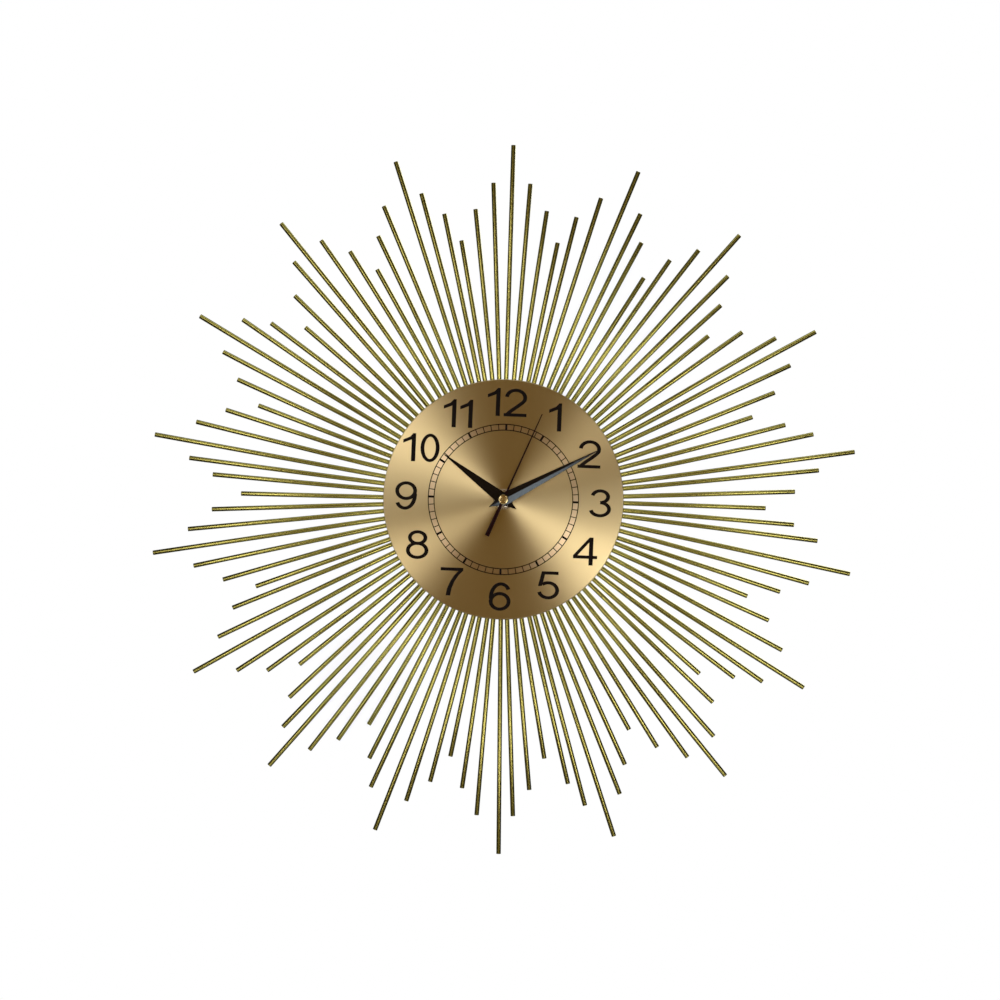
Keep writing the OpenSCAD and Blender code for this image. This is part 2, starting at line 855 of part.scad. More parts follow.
// Thumb-turned knob with a ribbed rim, sunk below the back of the case
module set_knob() {
    knob_r = 5.2;
    ribs = 24;
    color("dimgray") upright() at(set_p) difference() {
        disc(knob_r, knob_z[0], knob_z[1]);
        for (i = [0 : ribs - 1])
            rotate([0, 0, i * 360 / ribs]) translate([knob_r + 0.15, 0, -1])
                cylinder(r = 0.4, h = 5, $fn = 16);
    }
}

// ---------- hands ----------

// Kite-shaped hand whose flat sides fall away from a peak at its widest place, pointing at twelve
module kite(l, z) {
    edge = z + hand_edge_t;
    outline = [[hand_tip_half_w, l], [hand_half_w, hand_shoulder], [0, -hand_tail],
        [-hand_half_w, hand_shoulder], [-hand_tip_half_w, l]];
    // 0-4 underside, 5-9 top edge, 10 peak
    polyhedron(
        points = concat(
            [for (p = outline) [p[0], p[1], z]],
            [for (p = outline) [p[0], p[1], edge]],
            [[0, hand_shoulder, z + hand_peak_t]]
        ),
        faces = [
            [4, 3, 2, 1, 0],
            [0, 1, 6, 5], [1, 2, 7, 6], [2, 3, 8, 7], [3, 4, 9, 8], [4, 0, 5, 9],
            [5, 6, 10], [6, 7, 10], [7, 8, 10], [8, 9, 10], [9, 5, 10]
        ]
    );
}

module hour_hand() {
    color("black") upright() difference() {
        rotate([0, 0, -hour_angle]) kite(hour_len, hour_hand_z);
        disc(hour_tube_r, 0, 30);
    }
}

module hour_collet() {
    color("black") upright() tube(3.9, hour_tube_r, bush_top_z + 0.2, hour_hand_z);
}

module minute_hand() {
    color("black") upright() difference() {
        rotate([0, 0, -minute_angle]) kite(minute_len, minute_hand_z);
        disc(minute_tube_r, 0, 30);
    }
}

module minute_collet() {
    color("black") upright() tube(3.4, minute_tube_r, hour_tube_top_z + 0.15, minute_hand_z);
}

// Fine needle with a bar-shaped counterweight
module second_hand() {
    t = 0.3;
    color("black") upright() difference() {
        rotate([0, 0, -second_angle]) {
            disc(3.2, second_hand_z, second_hand_z + t);
            translate([0, 0, second_hand_z]) linear_extrude(t)
                polygon([[0.7, 0], [0.35, second_len], [-0.35, second_len], [-0.7, 0],
                    [-1.1, -6], [-1.6, -second_tail], [1.6, -second_tail], [1.1, -6]]);
        }
        disc(second_pin_r, 0, 30);
    }
}

module hub_cap() {
    chamfer = 0.35;
    color("gold") upright() rotate_extrude()
        polygon([[0, cap_z], [cap_r, cap_z],
            [cap_r, front_z - chamfer], [cap_r - chamfer, front_z], [0, front_z]]);
}

dial_plate();
dial_numerals();
minute_track();
back_disc();
long_rays();
mid_long_rays();
mid_short_rays();
short_rays();
hanger_bracket();
rubber_gasket();
dial_washer();
hex_nut();
threaded_bush();
case_front();
case_back();
gear_bridge();
battery();
battery_contact_positive();
battery_contact_negative();
circuit_board();
clock_chip();
quartz_crystal();
stator();
coil_core();
coil_bobbin();
coil_winding();
rotor_magnet();
rotor_pinion();
step_wheel();
second_wheel();
third_wheel();
centre_wheel();
minute_arbor();
reverse_wheel();
hour_wheel();
set_gear();
set_knob();
hour_hand();
hour_collet();
minute_hand();
minute_collet();
second_hand();
second_arbor();
hub_cap();
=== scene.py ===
"""Sunburst wall clock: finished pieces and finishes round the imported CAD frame."""

import json
import logging
import math
import random
from dataclasses import dataclass, field
from enum import Enum

import bmesh
import bpy
from mathutils import Matrix, Vector


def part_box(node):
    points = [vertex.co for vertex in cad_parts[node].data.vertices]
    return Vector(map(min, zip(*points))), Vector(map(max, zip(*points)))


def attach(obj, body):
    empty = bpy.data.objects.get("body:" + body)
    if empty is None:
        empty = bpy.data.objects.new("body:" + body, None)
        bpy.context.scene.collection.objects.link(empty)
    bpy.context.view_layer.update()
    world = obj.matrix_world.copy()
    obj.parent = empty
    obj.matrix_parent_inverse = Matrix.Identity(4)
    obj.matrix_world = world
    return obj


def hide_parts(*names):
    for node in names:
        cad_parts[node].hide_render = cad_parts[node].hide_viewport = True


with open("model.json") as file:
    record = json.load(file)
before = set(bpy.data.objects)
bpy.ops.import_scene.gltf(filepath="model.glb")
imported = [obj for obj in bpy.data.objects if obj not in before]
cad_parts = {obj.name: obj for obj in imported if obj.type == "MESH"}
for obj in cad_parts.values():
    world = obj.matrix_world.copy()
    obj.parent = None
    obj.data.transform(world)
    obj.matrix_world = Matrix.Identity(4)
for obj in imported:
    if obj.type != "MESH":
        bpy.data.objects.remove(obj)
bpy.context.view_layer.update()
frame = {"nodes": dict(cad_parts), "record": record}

MM = 0.001
UPRIGHT = Matrix.Rotation(math.radians(90), 4, "X") @ Matrix.Scale(MM, 4)
ROOT_BODY = "clock_body"

# Corners nearer than this are one, in metres in a CAD node's copy and in millimetres in a flat-built shape.
MERGE_DISTANCE = 2e-6
SAME_POINT = 1e-5
# Heights nearer than this are one, in millimetres.
LEVEL = 1e-4
# Degrees between two faces: under the first they are one flat, over the second their edge is sharp.
FLAT_ANGLE = 0.5
SHARP_ANGLE = 35.0
# A face whose normal rises less than this is an upright side.
UPRIGHT_SIDE = 0.1
# Where nearly all of a noise texture's values lie.
BROAD_RANGE = (0.35, 0.65)
FINE_RANGE = (0.3, 0.7)

log = logging.getLogger("sunburst_clock")

Point = tuple[float, float]
Colour = tuple[float, float, float]
Socket = bpy.types.NodeSocket
Shape = bmesh.types.BMesh
Edge = bmesh.types.BMEdge


# ---------- finishes ----------


class Pattern(Enum):
    """How a finish's marks run over its piece."""

    SPECKLE = "speckle"
    ALONG_ROD = "along_rod"
    ROUND_AXIS = "round_axis"


class NodeTree:
    """A material's node tree, with short ways to add and join nodes."""

    def __init__(self, name: str) -> None:
        """Starts a material that holds one Principled shader.

        Args:
            name: The material's name.
        """
        self.material = bpy.data.materials.new(name)
        self.material.use_nodes = True
        self.nodes = self.material.node_tree.nodes
        self.links = self.material.node_tree.links
        self.nodes.clear()
        self.shader = self.nodes.new("ShaderNodeBsdfPrincipled")
        output = self.nodes.new("ShaderNodeOutputMaterial")
        self.links.new(self.shader.outputs["BSDF"], output.inputs["Surface"])

    def add(self, kind: str, **settings: object) -> bpy.types.Node:
        """Adds a node.

        Args:
            kind: The node's class name without its ShaderNode prefix.
            settings: Properties to set on the node.

        Returns:
            The new node.
        """
        node = self.nodes.new("ShaderNode" + kind)
        for key, value in settings.items():
            setattr(node, key, value)
        return node

    def feed(self, source: object, target: Socket) -> None:
        """Joins a socket to an input, or sets the input's own value.

        Args:
            source: An output socket, a number or a tuple.
            target: The input socket.
        """
        if isinstance(source, Socket):
            self.links.new(source, target)
        else:
            target.default_value = source

    def maths(self, operation: str, a: object, b: object = 0.0, clamp: bool = False) -> Socket:
        """Adds a Math node.

        Args:
            operation: The Math node's operation.
            a: First socket or number.
            b: Second socket or number.
            clamp: Whether the result is held between 0 and 1.

        Returns:
            The result's socket.
        """
        node = self.add("Math", operation=operation, use_clamp=clamp)
        self.feed(a, node.inputs[0])
        self.feed(b, node.inputs[1])
        return node.outputs[0]

    def between(self, value: object, low: float, high: float, to_low: float = 0.0,
                to_high: float = 1.0) -> Socket:
        """Maps a range of values to another, smoothly and held at its ends.

        Args:
            value: The socket to map.
            low: Where the range starts.
            high: Where it ends.
            to_low: The result at the start.
            to_high: The result at the end.

        Returns:
            The result's socket.
        """
        node = self.add("MapRange", interpolation_type="SMOOTHSTEP")
        self.feed(value, node.inputs["Value"])
        ends = {"From Min": low, "From Max": high, "To Min": to_low, "To Max": to_high}
        for name, number in ends.items():
            node.inputs[name].default_value = number
        return node.outputs["Result"]

    def noise(self, vector: object, scale: float, detail: float = 3.0, rough: float = 0.55) -> Socket:
        """Adds a noise texture.

        Args:
            vector: The coordinates' socket.
            scale: Marks a metre.
            detail: Octaves.
            rough: Strength of the finer octaves.

        Returns:
            The noise value's socket.
        """
        node = self.add("TexNoise")
        self.feed(vector, node.inputs["Vector"])
        node.inputs["Scale"].default_value = scale
        node.inputs["Detail"].default_value = detail
        node.inputs["Roughness"].default_value = rough
        return node.outputs["Fac"]

    def blend(self, amount: object, a: object, b: object, how: str = "MIX") -> Socket:
        """Mixes two colours.

        Args:
            amount: Socket or number from 0 to 1.
            a: First colour.
            b: Second colour.
            how: The Mix node's blend type.

        Returns:
            The colour's socket.
        """
        node = self.add("Mix", data_type="RGBA", blend_type=how)
        self.feed(amount, node.inputs[0])
        for source, target in ((a, node.inputs[6]), (b, node.inputs[7])):
            self.feed((*source, 1.0) if isinstance(source, tuple) else source, target)
        return node.outputs[2]

    def place(self) -> Socket:
        """The piece's own Object coordinates, in metres."""
        return self.add("TexCoord").outputs["Object"]

    def radius(self) -> Socket:
        """Distance from the hands' axis, in metres."""
        flat = self.add("VectorMath", operation="MULTIPLY")
        self.feed(self.place(), flat.inputs[0])
        flat.inputs[1].default_value = (1.0, 0.0, 1.0)
        length = self.add("VectorMath", operation="LENGTH")
        self.feed(flat.outputs[0], length.inputs[0])
        return length.outputs["Value"]

    def bump(self, height: object, depth: float) -> None:
        """Gives the shader relief.

        Args:
            height: The height's socket, from 0 to 1.
            depth: The height of 1, in metres.
        """
        node = self.add("Bump")
        node.inputs["Strength"].default_value = 1.0
        node.inputs["Distance"].default_value = depth
        self.feed(height, node.inputs["Height"])
        self.feed(node.outputs["Normal"], self.shader.inputs["Normal"])


@dataclass(frozen=True)
class Finish:
    """A surface finish with marks of its own.

    Attributes:
        name: Material name.
        slot: The record's material slot.
        colour: Main colour.
        second: Colour that it varies towards.
        metallic: 1 for bare metal.
        roughness: Middle roughness.
        spread: How far the roughness varies.
        grain: Fine marks a metre.
        relief: Depth of the fine marks, in metres.
        mottle: Broad marks a metre.
        pattern: How the fine marks run.
        coat: Strength of a clear coat.
        anisotropy: Stretch of the highlight.
        specular: Strength of the plain reflection.
        coat_roughness: Roughness of the clear coat.
        drawn_stretch: Marks along a rod for each mark round it.
        highlight_turn: Turn of a stretched highlight, in whole turns.
    """

    name: str
    slot: str
    colour: Colour
    second: Colour
    metallic: float = 0.0
    roughness: float = 0.45
    spread: float = 0.08
    grain: float = 1800.0
    relief: float = 0.00002
    mottle: float = 60.0
    pattern: Pattern = Pattern.SPECKLE
    coat: float = 0.0
    anisotropy: float = 0.0
    specular: float = 0.5
    coat_roughness: float = 0.12
    drawn_stretch: float = 0.012
    highlight_turn: float = 0.25

    def fine_marks(self, tree: NodeTree) -> Socket:
        """Fine marks of the finish.

        Args:
            tree: The material's tree.

        Returns:
            A socket from 0 to 1.
        """
        if self.pattern is Pattern.ROUND_AXIS:
            line = tree.add("CombineXYZ")
            tree.feed(tree.radius(), line.inputs["X"])
            return tree.noise(line.outputs[0], self.grain, detail=4.0, rough=0.7)
        if self.pattern is Pattern.ALONG_ROD:
            stretch = tree.add("VectorMath", operation="MULTIPLY")
            tree.feed(tree.add("UVMap", uv_map=RayFrame.UV).outputs["UV"], stretch.inputs[0])
            stretch.inputs[1].default_value = (1.0, self.drawn_stretch, 1.0)
            return tree.noise(stretch.outputs[0], self.grain, rough=0.6)
        return tree.noise(tree.place(), self.grain)

    def colour_of(self, tree: NodeTree, fine: Socket) -> Socket:
        """The colour over the surface.

        Args:
            tree: The material's tree.
            fine: The fine marks' socket.

        Returns:
            A colour socket.
        """
        broad = tree.between(tree.noise(tree.place(), self.mottle), *BROAD_RANGE)
        mixed = tree.maths("MULTIPLY", tree.maths("ADD", broad, fine), 0.5, clamp=True)
        return tree.blend(mixed, self.colour, self.second)

    def build(self) -> bpy.types.Material:
        """Makes the material, or finds it if it is there.

        Returns:
            The material.
        """
        made = bpy.data.materials.get(self.name)
        if made:
            return made
        tree = NodeTree(self.name)
        fine = self.fine_marks(tree)
        tree.feed(self.colour_of(tree, fine), tree.shader.inputs["Base Color"])
        low, high = self.roughness - self.spread, self.roughness + self.spread
        tree.feed(tree.between(fine, *FINE_RANGE, low, high), tree.shader.inputs["Roughness"])
        tree.shader.inputs["Metallic"].default_value = self.metallic
        tree.shader.inputs["Specular IOR Level"].default_value = self.specular
        tree.shader.inputs["Coat Weight"].default_value = self.coat
        tree.shader.inputs["Coat Roughness"].default_value = self.coat_roughness
        if self.anisotropy:
            tree.shader.inputs["Anisotropic"].default_value = self.anisotropy
            tangent = tree.add("Tangent", direction_type="RADIAL", axis="Y")
            tree.feed(tangent.outputs[0], tree.shader.inputs["Tangent"])
            tree.shader.inputs["Anisotropic Rotation"].default_value = self.highlight_turn
        if self.relief:
            tree.bump(fine, self.relief)
        return tree.material


@dataclass(frozen=True)
class RodFinish(Finish):
    """Lacquered brass wire, whose shade differs a little from ray to ray."""

    own_share: float = 0.7

    def colour_of(self, tree: NodeTree, fine: Socket) -> Socket:
        """The ray's own shade, with the drawn lines over it.

        Args:
            tree: The material's tree.
            fine: The fine marks' socket.

        Returns:
            A colour socket.
        """
        shade = tree.add("Attribute", attribute_name=RayFrame.SHADE).outputs["Fac"]
        own = tree.maths("MULTIPLY", shade, self.own_share)
        drawn = tree.maths("MULTIPLY", fine, 1.0 - self.own_share)
        return tree.blend(tree.maths("ADD", own, drawn), self.colour, self.second)


@dataclass(frozen=True)
class DialFinish(Finish):
    """Circular-brushed dial with a paler ring under the minute track."""

    ring_colour: Colour = (0.80, 0.62, 0.45)
    ring_inner: float = 50.1 * MM
    ring_outer: float = 53.3 * MM
    ring_edge: float = 0.15 * MM
    ring_strength: float = 0.55

    def colour_of(self, tree: NodeTree, fine: Socket) -> Socket:
        """Brushed colour with the ring over it.

        Args:
            tree: The material's tree.
            fine: The fine marks' socket.

        Returns:
            A colour socket.
        """
        r = tree.radius()
        inside, beyond = (tree.between(r, place - self.ring_edge, place + self.ring_edge)
                          for place in (self.ring_inner, self.ring_outer))
        ring = tree.maths("MULTIPLY", tree.maths("SUBTRACT", inside, beyond), self.ring_strength)
        return tree.blend(ring, tree.blend(fine, self.colour, self.second), self.ring_colour)


@dataclass(frozen=True)
class PaintedFrameFinish(Finish):
    """Gold paint over steel, scorched a little where the rays are welded on."""

    scorch: Colour = (0.20, 0.13, 0.05)
    weld_radius: float = 77.0 * MM
    weld_width: float = 6.0 * MM
    scorch_strength: float = 0.6
    scorch_marks: float = 140.0

    def colour_of(self, tree: NodeTree, fine: Socket) -> Socket:
        """Paint colour with the scorched ring.

        Args:
            tree: The material's tree.
            fine: The fine marks' socket.

        Returns:
            A colour socket.
        """
        paint = Finish.colour_of(self, tree, fine)
        off = tree.maths("ABSOLUTE", tree.maths("SUBTRACT", tree.radius(), self.weld_radius))
        near = tree.between(off, 0.0, self.weld_width, self.scorch_strength, 0.0)
        patchy = tree.maths("MULTIPLY", near, tree.noise(tree.place(), self.scorch_marks))
        return tree.blend(patchy, paint, self.scorch)


@dataclass(frozen=True)
class CellFinish(Finish):
    """Printed sleeve of the battery: dark body with a coppery band at its positive end."""

    band: Colour = (0.55, 0.26, 0.10)
    band_start: float = 10.0 * MM
    band_edge: float = 0.1 * MM

    def colour_of(self, tree: NodeTree, fine: Socket) -> Socket:
        """Sleeve colour by its place along the cell.

        Args:
            tree: The material's tree.
            fine: The fine marks' socket.

        Returns:
            A colour socket.
        """
        split = tree.add("SeparateXYZ")
        tree.feed(tree.place(), split.inputs[0])
        low, high = self.band_start - self.band_edge, self.band_start + self.band_edge
        band = tree.between(split.outputs["X"], low, high)
        return tree.blend(band, Finish.colour_of(self, tree, fine), self.band)


ROD = RodFinish("ray_brass", "brass_ray", (0.46, 0.42, 0.112), (0.56, 0.515, 0.145), 1.0, 0.27, 0.02, 14.0,
                0.0000002, pattern=Pattern.ALONG_ROD)
DIAL = DialFinish("dial_brushed", "brushed_gold", (0.68, 0.555, 0.305), (0.71, 0.58, 0.325), 1.0, 0.30, 0.02,
                  3400.0, 0.0000006, pattern=Pattern.ROUND_AXIS, anisotropy=0.85)
PAINT = PaintedFrameFinish("frame_paint", "frame_gold", (0.55, 0.39, 0.14), (0.47, 0.33, 0.11), 0.75, 0.42,
                           0.08, 900.0, 0.00003)
WELD = Finish("weld_metal", "frame_gold", (0.42, 0.29, 0.10), (0.22, 0.15, 0.07), 0.8, 0.5, 0.12, 900.0,
              0.00006, 300.0)
INK = Finish("dial_ink", "black_print", (0.006, 0.0035, 0.003), (0.010, 0.006, 0.005), 0.0, 0.55, 0.05,
             3000.0, 0.000002, specular=0.06)
GLOSS_BLACK = Finish("hand_black", "black_hand", (0.004, 0.003, 0.003), (0.007, 0.005, 0.005), 0.0, 0.14,
                     0.02, 1400.0, 0.0000008, specular=0.35)
NEEDLE = Finish("needle_lacquer", "black_hand", (0.014, 0.0015, 0.0015), (0.010, 0.0015, 0.0015), 0.0, 0.25,
                0.03, 1400.0, 0.0000008, specular=0.05)
TURNED = Finish("turned_brass", "brass_fastener", (0.80, 0.66, 0.36), (0.70, 0.56, 0.28), 1.0, 0.22, 0.05,
                3800.0, 0.000003, pattern=Pattern.ROUND_AXIS, anisotropy=0.6)
NICKEL = Finish("nickel_plate", "nickel_fastener", (0.80, 0.78, 0.73), (0.68, 0.66, 0.61), 1.0, 0.24, 0.05,
                3000.0, 0.000002)
CASE = Finish("case_moulding", "case_plastic", (0.030, 0.030, 0.033), (0.040, 0.040, 0.043), 0.0, 0.50, 0.07,
              2600.0, 0.000025)
ACETAL = Finish("gear_acetal", "white_gear", (0.84, 0.84, 0.80), (0.78, 0.78, 0.73), 0.0, 0.38)
BRIDGE = Finish("bridge_moulding", "bridge_plastic", (0.70, 0.71, 0.72), (0.62, 0.63, 0.65), 0.0, 0.45)
RUBBER = Finish("gasket_rubber", "rubber", (0.018, 0.018, 0.018), (0.030, 0.029, 0.028), 0.0, 0.75)
STEEL = Finish("bright_steel", "steel", (0.60, 0.60, 0.62), (0.50, 0.50, 0.52), 1.0, 0.28)
MAGNET = Finish("sintered_magnet", "magnet", (0.14, 0.14, 0.15), (0.20, 0.20, 0.21), 0.9, 0.5)
COPPER = Finish("wound_copper", "copper", (0.70, 0.30, 0.13), (0.52, 0.20, 0.08), 1.0, 0.3, grain=5200.0,
                relief=0.00005)
BOBBIN = Finish("bobbin_moulding", "bobbin_plastic", (0.82, 0.78, 0.66), (0.76, 0.71, 0.58), 0.0, 0.45)
BOARD = Finish("board_resist", "board", (0.03, 0.17, 0.08), (0.05, 0.24, 0.12), 0.0, 0.35, mottle=220.0)
CHIP = Finish("chip_epoxy", "chip", (0.008, 0.008, 0.009), (0.016, 0.016, 0.017), 0.0, 0.25, coat=0.4)
CELL = CellFinish("cell_sleeve", "battery_jacket", (0.030, 0.034, 0.045), (0.040, 0.045, 0.058), 0.35, 0.28,
                  0.04, 1500.0, 0.000004, coat=0.4)
CONTACT = Finish("plated_contact", "spring_contact", (0.78, 0.74, 0.64), (0.66, 0.62, 0.52), 1.0, 0.26)
FINISHES = (ROD, DIAL, PAINT, INK, GLOSS_BLACK, TURNED, NICKEL, CASE, ACETAL, BRIDGE, RUBBER, STEEL, MAGNET,
            COPPER, BOBBIN, BOARD, CHIP, CELL, CONTACT)


# ---------- mesh helpers ----------


def turned(profile: list[Point], steps: int) -> Shape:
    """Spins a profile round the hands' axis.

    Args:
        profile: Points of (radius, height) in millimetres.
        steps: Facets round the turn.

    Returns:
        The closed shape, in millimetres, lying flat.
    """
    bm = bmesh.new()
    verts = [bm.verts.new((r, 0.0, z)) for r, z in profile]
    closed = profile[0][0] > 0
    ends = zip(verts, verts[1:] + verts[:1]) if closed else zip(verts, verts[1:])
    edges = [bm.edges.new(pair) for pair in ends]
    bmesh.ops.spin(bm, geom=verts + edges, cent=(0, 0, 0), axis=(0, 0, 1), angle=math.tau, steps=steps,
                   use_merge=True)
    bmesh.ops.remove_doubles(bm, verts=bm.verts[:], dist=SAME_POINT)
    bmesh.ops.recalc_face_normals(bm, faces=bm.faces[:])
    return bm


def sheet(outline: list[Point], low: float, high: float) -> Shape:
    """Extrudes a flat outline.

    Args:
        outline: Corner points in millimetres.
        low: Height of the underside.
        high: Height of the top.

    Returns:
        The plate, in millimetres, lying flat.
    """
    bm = bmesh.new()
    face = bm.faces.new([bm.verts.new((x, y, low)) for x, y in outline])
    grown = bmesh.ops.extrude_face_region(bm, geom=[face])
    top = [v for v in grown["geom"] if isinstance(v, bmesh.types.BMVert)]
    bmesh.ops.translate(bm, verts=top, vec=(0, 0, high - low))
    bmesh.ops.recalc_face_normals(bm, faces=bm.faces[:])
    return bm


def rounded(bm: Shape, edges: list[Edge], width: float, segments: int = 2) -> None:
    """Rounds edges over.

    Args:
        bm: The shape.
        edges: Its edges to round.
        width: Width of the round, in the shape's own units.
        segments: Facets across the round.
    """
    bmesh.ops.bevel(bm, geom=edges, offset=width, offset_type="OFFSET", segments=segments, profile=0.5,
                    affect="EDGES", material=-1, clamp_overlap=True)


def sharp_edges(bm: Shape, degrees: float) -> list[Edge]:
    """Edges whose two faces turn by more than an angle.

    Args:
        bm: The shape.
        degrees: The angle.

    Returns:
        The edges.
    """
    limit = math.radians(degrees)
    return [e for e in bm.edges if e.is_manifold and e.calc_face_angle() > limit]


def is_level(edge: Edge, within: float = LEVEL) -> bool:
    """Whether an edge's two ends are at one height.

    Args:
        edge: The edge.
        within: Difference that is let pass, in the shape's own units.

    Returns:
        True if they are.
    """
    return abs(edge.verts[0].co.z - edge.verts[1].co.z) < within


def take_in(bm: Shape, part: Shape) -> None:
    """Adds a shape to another.

    Args:
        bm: The shape that grows.
        part: The shape to add, which is freed.
    """
    passing = bpy.data.meshes.new("passing")
    part.to_mesh(passing)
    part.free()
    bm.from_mesh(passing)
    bpy.data.meshes.remove(passing)


def turn_about_axis(bm: Shape, clockwise: float) -> None:
    """Turns a flat-built shape clockwise round the hands' axis, as the viewer sees it.

    Args:
        bm: The shape.
        clockwise: Degrees to turn by.
    """
    turn = Matrix.Rotation(math.radians(-clockwise), 3, "Z")
    bmesh.ops.rotate(bm, verts=bm.verts[:], cent=(0, 0, 0), matrix=turn)


def off_wall(node: str) -> Point:
    """How far off the wall a CAD node starts and ends, in millimetres.

    Args:
        node: The CAD node's name.

    Returns:
        Its back and its front.
    """
    low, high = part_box(node)
    return -high.y / MM, -low.y / MM


def add_piece(bm: Shape, name: str, body: str, finish: Finish, nodes: tuple[str, ...] = (),
              flat_built: bool = True, smooth: float = SHARP_ANGLE) -> bpy.types.Object:
    """Turns a shape into a finished piece of the clock.

    Args:
        bm: The shape, which is freed.
        name: The piece's name.
        body: The CAD body that it moves with.
        finish: Its finish.
        nodes: CAD nodes that it stands for.
        flat_built: True if it is in millimetres and lies flat; False if it is already in the row frame.
        smooth: Edges that turn by more degrees than this stay sharp.

    Returns:
        The object.
    """
    if flat_built:
        bmesh.ops.transform(bm, matrix=UPRIGHT, verts=bm.verts[:])
    for face in bm.faces:
        face.smooth = True
    for edge in sharp_edges(bm, smooth):
        edge.smooth = False
    mesh = bpy.data.meshes.new(name)
    bm.to_mesh(mesh)
    bm.free()
    piece = bpy.data.objects.new(name, mesh)
    bpy.context.scene.collection.objects.link(piece)
    mesh.materials.append(finish.build())
    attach(piece, body)
    if nodes:
        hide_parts(*nodes)
    log.info("%s: %d faces on %s", name, len(mesh.polygons), body)
    return piece


def merged_copy(node: str) -> Shape:
    """A joined-up copy of a CAD node's loose triangles, in the row frame.

    Args:
        node: The CAD node's name.

    Returns:
        The copy.
    """
    bm = bmesh.new()
    bm.from_mesh(frame["nodes"][node].data)
    bmesh.ops.remove_doubles(bm, verts=bm.verts[:], dist=MERGE_DISTANCE)
    return bm


def softened(node: str, body: str, finish: Finish, width: float) -> bpy.types.Object:
    """A CAD node's shape with its sharp edges rounded, as moulding or pressing leaves them.

    Args:
        node: The CAD node's name.
        body: The CAD body that it moves with.
        finish: Its finish.
        width: Width of the rounds, in millimetres.

    Returns:
        The object.
    """
    bm = merged_copy(node)
    bmesh.ops.dissolve_limit(bm, angle_limit=math.radians(FLAT_ANGLE), verts=bm.verts[:], edges=bm.edges[:])
    rounded(bm, sharp_edges(bm, SHARP_ANGLE), width * MM)
    return add_piece(bm, node + "_finished", body, finish, (node,), flat_built=False)


# ---------- the ray frame ----------


@dataclass
class Ray:
    """One ray as the CAD has it, in the row frame, in metres."""

    inner: Vector
    outer: Vector


